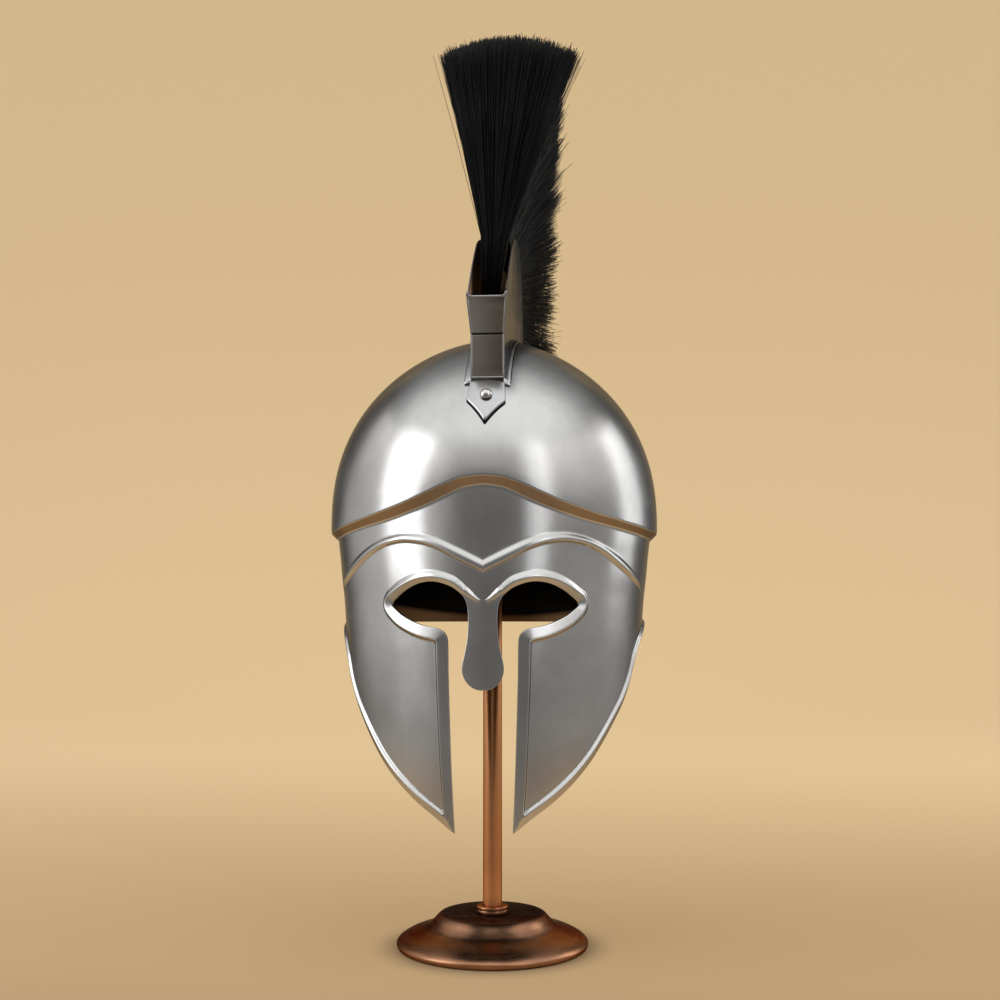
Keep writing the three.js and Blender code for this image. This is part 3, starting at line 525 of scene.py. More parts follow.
def sheet_fill(pitch, clear_of):
    fill_s = np.arange(0.5, girth[-1], pitch)
    fill_z = np.arange(70, 305, pitch * 0.866)
    fill = np.array([(s + (k % 2) * pitch / 2, z) for k, z in enumerate(fill_z) for s in fill_s])
    fill = fill[inside_outline(fill)]
    gap, _ = nearest_on(clear_of, fill)
    return fill[gap > pitch * 0.55]


def lay_triangles(points):
    laid, _, triangles, _, _, _ = delaunay_2d_cdt(
        [Vector(p) for p in points], [], [list(range(len(outline)))], 1, 1e-5)
    return np.array([tuple(p) for p in laid]), np.array([tri for tri in triangles if len(tri) == 3])


flat, triangles = lay_triangles(np.vstack(
    [outline, relief, sheet_fill(SHEET_PITCH, np.vstack([outline, relief]))]))
flat_inner, triangles_inner = lay_triangles(np.vstack([outline, sheet_fill(SHEET_PITCH * 1.5, outline)]))

# Relief and the way each point of the outer skin faces, with the sawn edge broken by a file.
PROBE, FILED = 0.14, 0.25
wall_outer = relief_place(flat)
along_way = unit(relief_place(flat + [PROBE, 0]) - relief_place(flat - [PROBE, 0]))
upward_way = unit(relief_place(flat + [0, PROBE]) - relief_place(flat - [0, PROBE]))
wall_facing = unit(np.cross(along_way, upward_way))
wall_facing[np.abs(wall_outer[:, 0]) < 1e-4, 0] = 0
to_edge = -free_aside[:, :1] * along_way[:free_count] - free_aside[:, 1:] * upward_way[:free_count]
wall_outer[:free_count] -= wall_facing[:free_count] * FILED
wall_facing[:free_count] += to_edge * 0.7
wall_facing = unit(wall_facing)
inner_angle = angle_of(flat_inner[:, 0])
wall_inner = wall_point(inner_angle, flat_inner[:, 1]) - wall_normal(inner_angle, flat_inner[:, 1]) * SHEET

# Crown, its step and the fillet down to the wall, column by column.
upper = step_edge(column_angle, STEP_UPPER)
lower = step_edge(column_angle, STEP_LOWER)
tilt_end = np.arcsin(np.maximum((upper + 0.9 - CROWN_BASE) / CROWN_RISE, 0) ** (CROWN_UP / 2))
part = np.linspace(0, 1, CROWN_ROWS + 1)[1:]
tilt = math.pi / 2 + (tilt_end[:, None] - math.pi / 2) * part[None, :]
bowl = crown_point(column_angle[:, None], tilt)
step_tilt = np.arcsin(np.maximum((upper - CROWN_BASE) / CROWN_RISE, 0) ** (CROWN_UP / 2))
lip = crown_point(column_angle, step_tilt)
lip[:, 2] = upper
root = wall_point(column_angle, lower)
under = unit(root - lip)
bend = np.linspace(0, 1, 6)[1:, None, None]
lip_end = lip + under * 0.9
lip_curve = (1 - bend) ** 2 * bowl[None, :, -1] + 2 * bend * (1 - bend) * lip + bend ** 2 * lip_end
fillet_start = root - under * FILLET
fillet_end = wall_point(column_angle, ledge_z)
fillet_curve = (1 - bend) ** 2 * fillet_start + 2 * bend * (1 - bend) * root + bend ** 2 * fillet_end
middle = (lip_end + fillet_start) / 2
columns = np.concatenate([
    bowl, lip_curve.transpose(1, 0, 2), middle[:, None], fillet_start[:, None],
    fillet_curve.transpose(1, 0, 2)[:, :-1]], axis=1)
apex = np.array([0, OVAL_Y, CROWN_BASE + CROWN_RISE])
across = np.gradient(bowl, axis=0)
across[0], across[-1] = [1, 0, 0], [-1, 0, 0]
from_apex = np.concatenate([np.broadcast_to(apex, (len(bowl), 1, 3)), bowl], axis=1)
downward = np.gradient(from_apex, axis=1)[:, 1:]
bowl_normal = unit(np.cross(downward, across))
bowl_inner = bowl - bowl_normal * SHEET
wall_top_inner = fillet_end - wall_normal(column_angle, ledge_z) * SHEET
spare = columns.shape[1] - bowl.shape[1]
share = (np.arange(1, spare + 1) / (spare + 1))[None, :, None]
step_inner = bowl_inner[:, -1:] * (1 - share) + wall_top_inner[:, None] * share
columns_inner = np.concatenate([bowl_inner, step_inner], axis=1)

# Half shell: outer skin, inner skin and the sawn edge between them, then its mirror image.
ledge_first = len(sawn) + len(hem) - 1 + len(rear_line) - 2
ledge_index = [ledge_first + CROWN_COLUMNS - j for j in range(CROWN_COLUMNS + 1)]
row_count = columns.shape[1]
outer = np.vstack([wall_outer, columns.reshape(-1, 3), apex])
inner = np.vstack([wall_inner, columns_inner.reshape(-1, 3), apex - [0, 0, SHEET]])


def skin_faces(wall, wall_triangles, facing):
    corner = wall[wall_triangles]
    turn = np.cross(corner[:, 1] - corner[:, 0], corner[:, 2] - corner[:, 0])
    right_way = (turn * facing[wall_triangles[:, 0]]).sum(axis=1) > 0
    faces = [tri if right else tri[::-1] for tri, right in zip(wall_triangles.tolist(), right_way)]
    crown_index = np.arange(len(column_angle) * row_count).reshape(-1, row_count) + len(wall)
    crown_index = np.hstack([crown_index, np.array(ledge_index)[:, None]])
    top = len(wall) + len(column_angle) * row_count
    for left, right in zip(crown_index[:-1].tolist(), crown_index[1:].tolist()):
        faces.append([top, left[0], right[0]])
        for k in range(row_count):
            faces.append([left[k], left[k + 1], right[k + 1], right[k]])
    return faces


outer_faces = skin_faces(wall_outer, triangles, wall_facing)
inner_faces = skin_faces(wall_inner, triangles_inner, wall_normal(inner_angle, flat_inner[:, 1]))
shift = len(outer)
half_faces = outer_faces + [[shift + i for i in reversed(face)] for face in inner_faces]
step_row = bowl.shape[1] + len(lip_curve) - 1
OUTSIDE, INSIDE, UNDER_STEP = 0, 1, 2
face_slots = [OUTSIDE] * len(outer_faces) + [INSIDE] * len(inner_faces) + [OUTSIDE] * (free_count - 1)
for j in range(CROWN_COLUMNS):
    first = len(triangles) + j * (row_count + 1) + 1 + step_row
    face_slots[first:first + 2] = [UNDER_STEP] * 2
half_faces += [[a, shift + a, shift + a + 1, a + 1] for a in range(free_count - 1)]
half = np.vstack([outer, inner])
half[np.abs(half[:, 0]) < 1e-4, 0] = 0
on_seam = half[:, 0] == 0
twin = np.where(on_seam, np.arange(len(half)), len(half) + np.cumsum(~on_seam) - 1)
mirrored = half[~on_seam] * [-1, 1, 1]
whole = np.vstack([half, mirrored])
whole_faces = half_faces + [[int(twin[i]) for i in reversed(face)] for face in half_faces]

shell_mesh = bpy.data.meshes.new("helmet_shell_polished")
shell_mesh.from_pydata((whole * MM).tolist(), [], whole_faces)
shell_mesh.validate()
helmet = bpy.data.objects.new("helmet_shell_polished", shell_mesh)
bpy.context.collection.objects.link(helmet)
start_fresh()
bpy.context.view_layer.objects.active = helmet
helmet.select_set(True)
bpy.ops.object.shade_smooth_by_angle(angle=math.radians(42))
corner_facing = np.empty(len(shell_mesh.loops) * 3, dtype=np.float32)
shell_mesh.corner_normals.foreach_get("vector", corner_facing)
corner_facing = corner_facing.reshape(-1, 3)
wall_corners = np.array(outer_faces[:len(triangles)])
half_corners = sum(len(face) for face in half_faces)
corner_facing[:wall_corners.size] = wall_facing[wall_corners.ravel()]
corner_facing[half_corners:half_corners + wall_corners.size] = (
    wall_facing[wall_corners[:, ::-1].ravel()] * [-1, 1, 1])
shell_mesh.normals_split_custom_set(corner_facing.tolist())


STEEL_EDGE_TINT = grey(0.22)


def polished_steel(name, light, dull, rough, streak, stain):
    finish, tree, skin = new_finish(name)
    link = tree.links.new
    place = node_in(tree, "ShaderNodeTexCoord")
    cloud = node_in(tree, "ShaderNodeTexNoise", Scale=14.0, Detail=7.0, Roughness=0.6)
    link(place.outputs["Object"], cloud.inputs["Vector"])
    tone = ramp_in(tree, [(0.32, dull), (0.68, light)])
    link(cloud.outputs["Fac"], tone.inputs["Fac"])
    spots = node_in(tree, "ShaderNodeTexNoise", Scale=70.0, Detail=5.0, Roughness=0.7)
    link(place.outputs["Object"], spots.inputs["Vector"])
    spotted = ramp_in(tree, [(0.73, grey(0)), (0.84, grey(stain))])
    link(spots.outputs["Fac"], spotted.inputs["Fac"])
    stained = node_in(tree, "ShaderNodeMix", data_type="RGBA")
    stained.inputs["B"].default_value = (0.16, 0.11, 0.075, 1)
    link(tone.outputs["Color"], stained.inputs["A"])
    link(spotted.outputs["Color"], stained.inputs["Factor"])
    link(stained.outputs["Result"], skin.inputs["Base Color"])
    spread = node_in(tree, "ShaderNodeMapping")
    spread.inputs["Scale"].default_value = streak
    spread.inputs["Rotation"].default_value = (0.12, 0.2, 0.0)
    link(place.outputs["Object"], spread.inputs["Vector"])
    brush = node_in(tree, "ShaderNodeTexNoise", Scale=1.0, Detail=3.0, Roughness=0.55)
    link(spread.outputs["Vector"], brush.inputs["Vector"])
    smear = node_in(
        tree, "ShaderNodeTexNoise", Scale=22.0, Detail=4.0, Roughness=0.6, Distortion=0.6)
    link(place.outputs["Object"], smear.inputs["Vector"])
    mixed = node_in(tree, "ShaderNodeMix", data_type="FLOAT")
    mixed.inputs["Factor"].default_value = 0.75
    link(brush.outputs["Fac"], mixed.inputs["A"])
    link(smear.outputs["Fac"], mixed.inputs["B"])
    gloss = ramp_in(tree, [(0.34, grey(rough - 0.03)), (0.66, grey(rough + 0.035))])
    link(mixed.outputs["Result"], gloss.inputs["Fac"])
    link(gloss.outputs["Color"], skin.inputs["Roughness"])
    dents = node_in(tree, "ShaderNodeTexNoise", Scale=24.0, Detail=2.0, Roughness=0.45)
    link(place.outputs["Object"], dents.inputs["Vector"])
    hammered = node_in(tree, "ShaderNodeBump", Strength=0.15, Distance=0.002)
    link(dents.outputs["Fac"], hammered.inputs["Height"])
    scratched = node_in(tree, "ShaderNodeBump", Strength=0.0015, Distance=0.0004)
    link(brush.outputs["Fac"], scratched.inputs["Height"])
    link(hammered.outputs["Normal"], scratched.inputs["Normal"])
    link(scratched.outputs["Normal"], skin.inputs["Normal"])
    skin.inputs["Metallic"].default_value = 1.0
    skin.inputs["Specular Tint"].default_value = (*STEEL_EDGE_TINT, 1)
    return finish


shell_steel = polished_steel(
    "polished_steel_shell", (0.75, 0.755, 0.76), (0.56, 0.56, 0.56), 0.24, (420, 420, 26), 0.5)
# Painted shade: the inside of the bowl gets near-black steel to stand in for the shade within the helmet.
shell_inside_painted_shade = polished_steel(
    "steel_inside_painted_shade", (0.022, 0.020, 0.018), (0.010, 0.009, 0.008), 0.36, (300, 300, 30), 0.2)
# Along the rear neck's lower edge the dark inside is painted brown: a painted reflection of the tan floor.
inside_tree = shell_inside_painted_shade.node_tree
inside_link = inside_tree.links.new
inside_skin = inside_tree.nodes["Principled BSDF"]
inside_place = node_in(inside_tree, "ShaderNodeTexCoord")
inside_axes = node_in(inside_tree, "ShaderNodeSeparateXYZ")
inside_link(inside_place.outputs["Object"], inside_axes.inputs["Vector"])
inside_sides = node_in(inside_tree, "ShaderNodeMath", operation="MULTIPLY")
inside_link(inside_axes.outputs["X"], inside_sides.inputs[0])
inside_link(inside_axes.outputs["X"], inside_sides.inputs[1])
inside_level = node_in(inside_tree, "ShaderNodeMath", operation="MULTIPLY_ADD")
inside_level.inputs[1].default_value = -1.3
inside_link(inside_sides.outputs["Value"], inside_level.inputs[0])
inside_link(inside_axes.outputs["Z"], inside_level.inputs[2])
inside_low = ramp_in(inside_tree, [(0.2150, grey(1)), (0.2172, grey(0))])
inside_link(inside_level.outputs["Value"], inside_low.inputs["Fac"])
inside_rear = ramp_in(inside_tree, [(0.08, grey(0)), (0.1, grey(1))])
inside_link(inside_axes.outputs["Y"], inside_rear.inputs["Fac"])
inside_reflection_mask = node_in(inside_tree, "ShaderNodeMath", operation="MULTIPLY")
inside_link(inside_low.outputs["Color"], inside_reflection_mask.inputs[0])
inside_link(inside_rear.outputs["Color"], inside_reflection_mask.inputs[1])
inside_painted_reflection = node_in(inside_tree, "ShaderNodeMix", data_type="RGBA")
inside_painted_reflection.inputs["B"].default_value = (0.42, 0.24, 0.12, 1)
inside_link(inside_reflection_mask.outputs["Value"], inside_painted_reflection.inputs["Factor"])
inside_link(inside_skin.inputs["Base Color"].links[0].from_socket, inside_painted_reflection.inputs["A"])
inside_link(inside_painted_reflection.outputs["Result"], inside_skin.inputs["Base Color"])
helmet.data.materials.append(shell_steel)
helmet.data.materials.append(shell_inside_painted_shade)
# Painted shade: the underside of the crown's step gets darker brown steel, standing in for shade and a
# reflection of the floor.
helmet.data.materials.append(polished_steel(
    "steel_under_step_painted_shade", (0.46, 0.37, 0.30), (0.30, 0.235, 0.19), 0.3, (60, 60, 900), 0.5))
slots = np.array(face_slots + face_slots, dtype=np.int32)
helmet.data.polygons.foreach_set("material_index", slots[:len(helmet.data.polygons)])
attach(helmet, "root")
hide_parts("helmet_shell")


# Crest box: two arched side walls, a bent front strap and a rear strap of steel sheet, soldered into
# one open-topped box, with folded feet on the crown and a pointed tab at each end.
BOX_SHEET, BOX_HALF, BOX_FLARE, FLARE_FROM, FLARE_TO, FOOT_WIDE = 1.2, 10.5, 2.2, 396.0, 419.0, 4.0
BOX_TURN, BOX_PIVOT_X, BOX_PIVOT_Y = math.radians(1.4), 1.0, -80.0
FRONT_Y, FRONT_KINK_Y, FRONT_KINK_Z, FRONT_TOP_Y, FRONT_TOP_Z = -72.0, -72.4, 396.0, -80.0, 419.0
REAR_Y, REAR_TOP_Y, REAR_TOP_Z = 88.0, 86.8, 407.0
FRONT_TAB, REAR_TAB = (-71.4, -83.6, -92.0), (87.4, 97.5, 105.0)
TAB_HALF, TAB_TIP = 12.0, 0.6
ARCH_Y = [-80, -66, -48, -20, 4, 28, 50, 66, 76, 82, 86.4]
ARCH_Z = [419, 432.5, 449, 470, 480, 483.6, 480.5, 472, 458, 438, 407]


def box_plan(x, y):
    aft = y - BOX_PIVOT_Y
    return (BOX_PIVOT_X + x * math.cos(BOX_TURN) + aft * math.sin(BOX_TURN),
            BOX_PIVOT_Y - x * math.sin(BOX_TURN) + aft * math.cos(BOX_TURN))


def box_point(x, y, z):
    px, py = box_plan(x, y)
    return np.array([px, py, z])


def over_crown(x, y, lift):
    px, py = box_plan(x, y)
    slope_x = crown_height(px + 0.5, py) - crown_height(px - 0.5, py)
    slope_y = crown_height(px, py + 0.5) - crown_height(px, py - 0.5)
    return np.array([px, py, crown_height(px, py) + lift * math.sqrt(1 + slope_x ** 2 + slope_y ** 2)])


def box_half(z):
    return BOX_HALF + BOX_FLARE * min(max((z - FLARE_FROM) / (FLARE_TO - FLARE_FROM), 0), 1)


def lofted(name, rings):
    count = len(rings[0])
    points = [p for ring in rings for p in ring]
    faces = []
    for r in range(len(rings) - 1):
        for k in range(count):
            a, b = r * count + k, r * count + (k + 1) % count
            faces.append([a, b, b + count, a + count])
    faces.append(list(range(count))[::-1])
    faces.append([(len(rings) - 1) * count + k for k in range(count)])
    mesh = bpy.data.meshes.new(name)
    mesh.from_pydata([tuple(np.asarray(p) * MM) for p in points], [], faces)
    piece = bpy.data.objects.new(name, mesh)
    bpy.context.collection.objects.link(piece)
    start_fresh()
    bpy.context.view_layer.objects.active = piece
    piece.select_set(True)
    bpy.ops.object.mode_set(mode="EDIT")
    bpy.ops.mesh.select_all(action="SELECT")
    bpy.ops.mesh.normals_make_consistent(inside=False)
    bpy.ops.object.mode_set(mode="OBJECT")
    return piece


def soften_edges(piece, width, segments=2, angle=38):
    start_fresh()
    bpy.context.view_layer.objects.active = piece
    piece.select_set(True)
    bevel = piece.modifiers.new("edges", "BEVEL")
    bevel.width = width * MM
    bevel.segments = segments
    bevel.limit_method = "ANGLE"
    bevel.angle_limit = math.radians(angle)
    bevel.harden_normals = False
    bpy.ops.object.modifier_apply(modifier="edges")
    bpy.ops.object.shade_smooth_by_angle(angle=math.radians(40))
    return piece


def box_wall(sign):
    arch = spline_through(np.stack([ARCH_Y, ARCH_Z], axis=-1), 12)
    steps = 48
    run = even_spacing(arch, 1.0)
    at, run_at = np.linspace(0, 1, steps + 1), np.linspace(0, 1, len(run))
    tops = np.stack([np.interp(at, run_at, run[:, k]) for k in (0, 1)], axis=-1)
    rings = []
    for i, (top_y, top_z) in enumerate(tops):
        y = FRONT_Y + (REAR_Y - FRONT_Y) * i / steps
        foot = max(over_crown(sign * x, y, SEAT_GAP)[2] for x in (BOX_HALF - BOX_SHEET, BOX_HALF))
        bend_z = max(FLARE_FROM, foot + 4)
        bend_y = y + (top_y - y) * (bend_z - foot) * 0.2 / max(top_z - foot, 1)
        rows_up = [(y, foot), (bend_y, bend_z)]
        for share in (0.12, 0.3, 0.6, 1.0):
            rows_up.append((bend_y + (top_y - bend_y) * share, bend_z + (top_z - bend_z) * share))
        ring = [box_point(sign * box_half(z), yy, z) for yy, z in rows_up]
        ring += [box_point(sign * (box_half(z) - BOX_SHEET), yy, z) for yy, z in reversed(rows_up)]
        rings.append(ring)
    return soften_edges(lofted("box_wall", rings), 0.42, segments=3)


def box_foot(sign, wide, low, high):
    rings = []
    steps = 48
    for i in range(steps + 1):
        y = FRONT_Y - 1 + (REAR_Y - FRONT_Y + 2) * i / steps
        base = box_half(over_crown(0, y, 0)[2])
        near, far = sign * (base - BOX_SHEET * 0.6), sign * (base + wide)
        ring = [over_crown(near + (far - near) * s, y, low) for s in (0, 0.5, 1)]
        ring += [over_crown(near + (far - near) * s, y, high) for s in (1, 0.5, 0)]
        rings.append(ring)
    return soften_edges(lofted("box_foot", rings), min(0.25, (high - low) / 3))


def box_strap(rows_up, outward):
    rings = []
    for y, z, wide in rows_up:
        rings.append([
            box_point(-wide, y - outward * 0.9, z), box_point(wide, y - outward * 0.9, z),
            box_point(wide, y + outward * BOX_SHEET, z), box_point(-wide, y + outward * BOX_SHEET, z)])
    return soften_edges(lofted("box_strap", rings), 0.3, angle=30)


def framed_strap(rows_up, border, proud):
    rings = []
    for y, z, wide in rows_up:
        back, panel = y + 0.9, y - BOX_SHEET
        lip = panel - proud
        rings.append([
            box_point(-wide, back, z), box_point(wide, back, z), box_point(wide, lip, z),
            box_point(wide - border, lip, z), box_point(wide - border - 0.3, panel, z),
            box_point(-wide + border + 0.3, panel, z), box_point(-wide + border, lip, z),
            box_point(-wide, lip, z)])
    return soften_edges(lofted("framed_strap", rings), 0.16, angle=30)


def strap_rail(rows_up, sign, border, proud):
    rings = []
    for y, z, wide in rows_up:
        outer, inner, lip = sign * (wide + 0.06), sign * (wide - border), y - BOX_SHEET - proud - 0.08
        rings.append([box_point(outer, y + 0.5, z), box_point(outer, lip, z),
                      box_point(inner, lip, z), box_point(inner, y + 0.5, z)])
    return soften_edges(lofted("strap_rail", rings), 0.2, angle=30)


def cross_bar(wide, y_range, z_range, round_off):
    rings = [[box_point(x, y_range[0], z_range[0]), box_point(x, y_range[1], z_range[0]),
              box_point(x, y_range[1], z_range[1]), box_point(x, y_range[0], z_range[1])]
             for x in (-wide, wide)]
    return soften_edges(lofted("cross_bar", rings), round_off, segments=4, angle=30)


def corner_web(sign, wide, y_range, z, size):
    arc = np.linspace(0, math.pi / 2, 6)
    ring = [(wide + 0.1, z - 0.6), (wide + 0.1, z + size)]
    ring += [(wide - BOX_SHEET - size * (1 - math.cos(a)), z + size * (1 - math.sin(a))) for a in arc]
    ring += [(wide - BOX_SHEET - size, z - 0.6)]
    rings = [[box_point(sign * x, y, height) for x, height in ring] for y in y_range]
    return soften_edges(lofted("corner_web", rings), 0.2, angle=50)


def foot_gusset(sign, wide):
    low = over_crown(sign * wide, FRONT_Y - 1.4, SEAT_GAP)[2]
    spread = over_crown(sign * (wide + FOOT_WIDE), FRONT_Y - 1.6, SEAT_GAP + 0.3)
    rings = [
        [box_point(sign * (wide - 0.4), FRONT_Y - 1.2, low + 5.0),
         box_point(sign * (wide - 0.4), FRONT_Y - 2.6, low + 0.4),
         box_point(sign * (wide - 0.4), FRONT_Y + 1.5, low + 0.6)],
        [spread + [0, 0, 1.3], spread + [0, -0.5, 0.1], spread + [0, 1.2, 0.3]]]
    return soften_edges(lofted("foot_gusset", rings), 0.15, angle=30)


def box_tab(start, widest, point, grow, low, high):
    rows_out = []
    for k in range(7):
        share = k / 6
        rows_out.append((start + (widest - start) * share, BOX_HALF + (TAB_HALF - BOX_HALF) * share + grow))
    outward = math.copysign(1, point - start)
    tip_y = point + outward * grow * 1.4
    for k in range(1, 9):
        share = k / 8
        wide = TAB_HALF + grow + (TAB_TIP - TAB_HALF - grow) * share
        rows_out.append((widest + (tip_y - widest) * share, wide))
    rings = []
    spread = np.linspace(-1, 1, 9)
    for y, wide in rows_out:
        ring = [over_crown(s * wide, y, low) for s in spread]
        ring += [over_crown(s * wide, y, high) for s in spread[::-1]]
        rings.append(ring)
    return soften_edges(lofted("box_tab", rings), min(0.22, (high - low) / 3), angle=30)


front_foot = over_crown(0, FRONT_Y + 1, SEAT_GAP)[2] + 0.2
rear_foot = over_crown(0, REAR_Y - 1, SEAT_GAP)[2] + 0.2
STRAP_OVER, STRAP_PROUD, BORDER_LOWER, BORDER_UPPER = 0.2, 0.45, 0.6, 0.9
strap_half, top_half = BOX_HALF + STRAP_OVER, BOX_HALF + BOX_FLARE + STRAP_OVER
strap_top = FRONT_TOP_Z + STRAP_OVER
lower_rows = [
    (FRONT_Y - 0.35 + (FRONT_KINK_Y - FRONT_Y) * s, front_foot + (FRONT_KINK_Z - front_foot) * s, strap_half)
    for s in (0, 0.3, 0.6, 0.9, 0.97, 1.0)]
upper_rows = [
    (FRONT_KINK_Y + (FRONT_TOP_Y - FRONT_KINK_Y) * s, FRONT_KINK_Z + (strap_top - FRONT_KINK_Z) * s,
     strap_half + BOX_FLARE * s)
    for s in (-0.06, 0.1, 0.3, 0.6, 0.97)]
rear_rows = []
for s in (0, 0.35, 0.7, 1.0):
    z = rear_foot + (REAR_TOP_Z + STRAP_OVER - rear_foot) * s
    rear_rows.append((REAR_Y + (REAR_TOP_Y - REAR_Y) * s, z, box_half(z) + STRAP_OVER))
top_reach = (FRONT_TOP_Y - BOX_SHEET - STRAP_PROUD - 0.15, FRONT_TOP_Y + 0.9)
bright_pieces = [
    box_wall(1), box_wall(-1), box_strap(rear_rows, 1),
    box_foot(1, FOOT_WIDE, 0.75, 1.65), box_foot(-1, FOOT_WIDE, 0.75, 1.65),
    cross_bar(top_half, top_reach, (strap_top - 1.3, strap_top + 0.3), 0.65),
    cross_bar(strap_half, (FRONT_Y - 2.1, FRONT_Y), (front_foot + 0.2, front_foot + 1.5), 0.6),
    corner_web(1, top_half, top_reach, strap_top, 2.6), corner_web(-1, top_half, top_reach, strap_top, 2.6),
    foot_gusset(1, strap_half), foot_gusset(-1, strap_half),
    strap_rail(lower_rows, 1, BORDER_LOWER, STRAP_PROUD),
    strap_rail(lower_rows, -1, BORDER_LOWER, STRAP_PROUD),
    strap_rail(upper_rows, 1, BORDER_UPPER, STRAP_PROUD),
    strap_rail(upper_rows, -1, BORDER_UPPER, STRAP_PROUD),
    box_tab(*FRONT_TAB, 0.0, 1.0, 1.7), box_tab(*REAR_TAB, 0.0, 1.0, 1.7),
]
strap_pieces = [
    framed_strap(lower_rows, BORDER_LOWER, STRAP_PROUD),
    framed_strap(upper_rows, BORDER_UPPER, STRAP_PROUD),
]
# Painted shadow: dark copies just under the tabs and feet, and a dark bar under the strap's kink, stand in
# for the shade in these gaps.
shadow_pieces = [
    box_tab(*FRONT_TAB, 0.3, 0.4, 1.05), box_tab(*REAR_TAB, 0.3, 0.4, 1.05),
    box_foot(1, FOOT_WIDE + 0.4, 0.35, 0.8), box_foot(-1, FOOT_WIDE + 0.4, 0.35, 0.8),
    cross_bar(strap_half - BORDER_LOWER, (FRONT_KINK_Y - 1.75, FRONT_KINK_Y),
              (FRONT_KINK_Z - 0.4, FRONT_KINK_Z + 1.1), 0.3),
]
box_steel = polished_steel(
    "polished_steel_box", (0.66, 0.67, 0.69), (0.52, 0.53, 0.545), 0.2, (500, 500, 24), 0.45)
# Near-black steel for the painted shadow under the tabs, the feet and the kink.
box_painted_shadow = polished_steel(
    "painted_shadow_steel", (0.03, 0.028, 0.026), (0.012, 0.011, 0.01), 0.5, (300, 300, 300), 0.1)
# Painted reflection: the inner faces of the side walls get a brown matt finish standing in for the tan floor
# they reflect.
box_wall_painted_reflection, _, reflection_skin = new_finish("painted_reflection_box_walls")
reflection_skin.inputs["Base Color"].default_value = (0.72, 0.42, 0.25, 1)
reflection_skin.inputs["Roughness"].default_value = 0.45
for piece in bright_pieces:
    piece.data.materials.append(box_steel)
for wall in bright_pieces[:2]:
    wall.data.materials.append(box_wall_painted_reflection)
    away = math.copysign(1, sum(v.co.x for v in wall.data.vertices))
    for face in wall.data.polygons:
        face.material_index = int(face.normal.x * away < -0.7)
strap_steel = polished_steel(
    "browned_strap_steel", (0.84, 0.79, 0.74), (0.62, 0.57, 0.52), 0.2, (500, 500, 24), 0.5)
# The strap is browner toward its right edge.
tint_along(strap_steel, "X", -0.011, 0.013, (0.30, 0.25, 0.21))
for piece in strap_pieces:
    piece.data.materials.append(strap_steel)
for piece in shadow_pieces:
    piece.data.materials.append(box_painted_shadow)
start_fresh()
for piece in bright_pieces + strap_pieces + shadow_pieces:
    piece.select_set(True)
bpy.context.view_layer.objects.active = bright_pieces[0]
bpy.ops.object.join()
crest_box = bpy.context.object
crest_box.name = crest_box.data.name = "crest_box_soldered"
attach(crest_box, "root")
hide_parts("crest_holder")


# Rivets: round-headed steel rivets that pass through each tab and the crown
# and are hammered over inside.
RIVET_RADIUS, RIVET_RISE = 4.0, 3.4
RIVET_PLACES = {"crest_rivet_front": -81.2, "crest_rivet_rear": 96.0}
rivet_steel = polished_steel(
    "polished_steel_rivet", (0.82, 0.81, 0.80), (0.70, 0.69, 0.68), 0.16, (500, 500, 500), 0.4)
for node_name, seat_y in RIVET_PLACES.items():
    head_rows = [(RIVET_RADIUS - 0.15, 0.0), (RIVET_RADIUS, 0.2)]
    for k in range(1, 14):
        tilt_up = k / 14 * math.pi / 2
        head_rows.append((RIVET_RADIUS * math.cos(tilt_up), max(RIVET_RISE * math.sin(tilt_up), 0.3)))
    head = turn_on_lathe(node_name + "_head", head_rows, 40)
    seat = over_crown(0, seat_y, 0)
    ahead = over_crown(0, seat_y - 0.5, 0) - over_crown(0, seat_y + 0.5, 0)
    beside = over_crown(0.5, seat_y, 0) - over_crown(-0.5, seat_y, 0)
    square = unit(np.cross(ahead, beside))
    square = square if square[2] > 0 else -square
    place = seat + square * (SEAT_GAP * 2 + 0.2 + BOX_SHEET * 1.2)
    swing = Vector((0, 0, 1)).rotation_difference(Vector(square)).to_matrix().to_4x4()
    head.data.transform(Matrix.Translation(Vector(place) * MM) @ swing)
    head.data.materials.append(rivet_steel)
    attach(head, "root")
    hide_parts(node_name)


# Hair crest: straight black horse hair bound in a strip along the box, combed up into a fan that is cut
# to one long curve. A dense core carries thousands of single hairs.
HAIR_FRONT, HAIR_REAR, HAIR_DROP, HAIR_ROOT_HALF = -64.0, 78.0, 24.0, 4.7
HAIR_LEAN_FRONT, HAIR_LEAN_REAR, HAIR_REAR_HOLD = 16.0, 4.0, 0.9
FAN_U = [0, 0.25, 0.5, 0.75, 1]
FAN_DEG = [-6, 2, 20, 54, 96]
FAN_LENGTH = [182, 171, 153, 132, 118]
FAN_HALF = [44, 40.5, 36, 32.5, 29.5]
SPREAD_ALONG = [0, 0.12, 0.28, 0.6, 0.93, 1.0]
SPREAD_WIDE = [0, 0.03, 0.11, 0.52, 0.97, 1.06]
LEFT_NARROWS, TRIM_ROUND, TRIM_SLOPE, TRIM_WAVE = 0.3, 0.065, 0.012, 0.012
CORE_SPAN, CORE_TAPER, CORE_INSET, CORE_REACH, CORE_SHORTER = 0.47, 0.10, 0.95, 0.915, 0.16


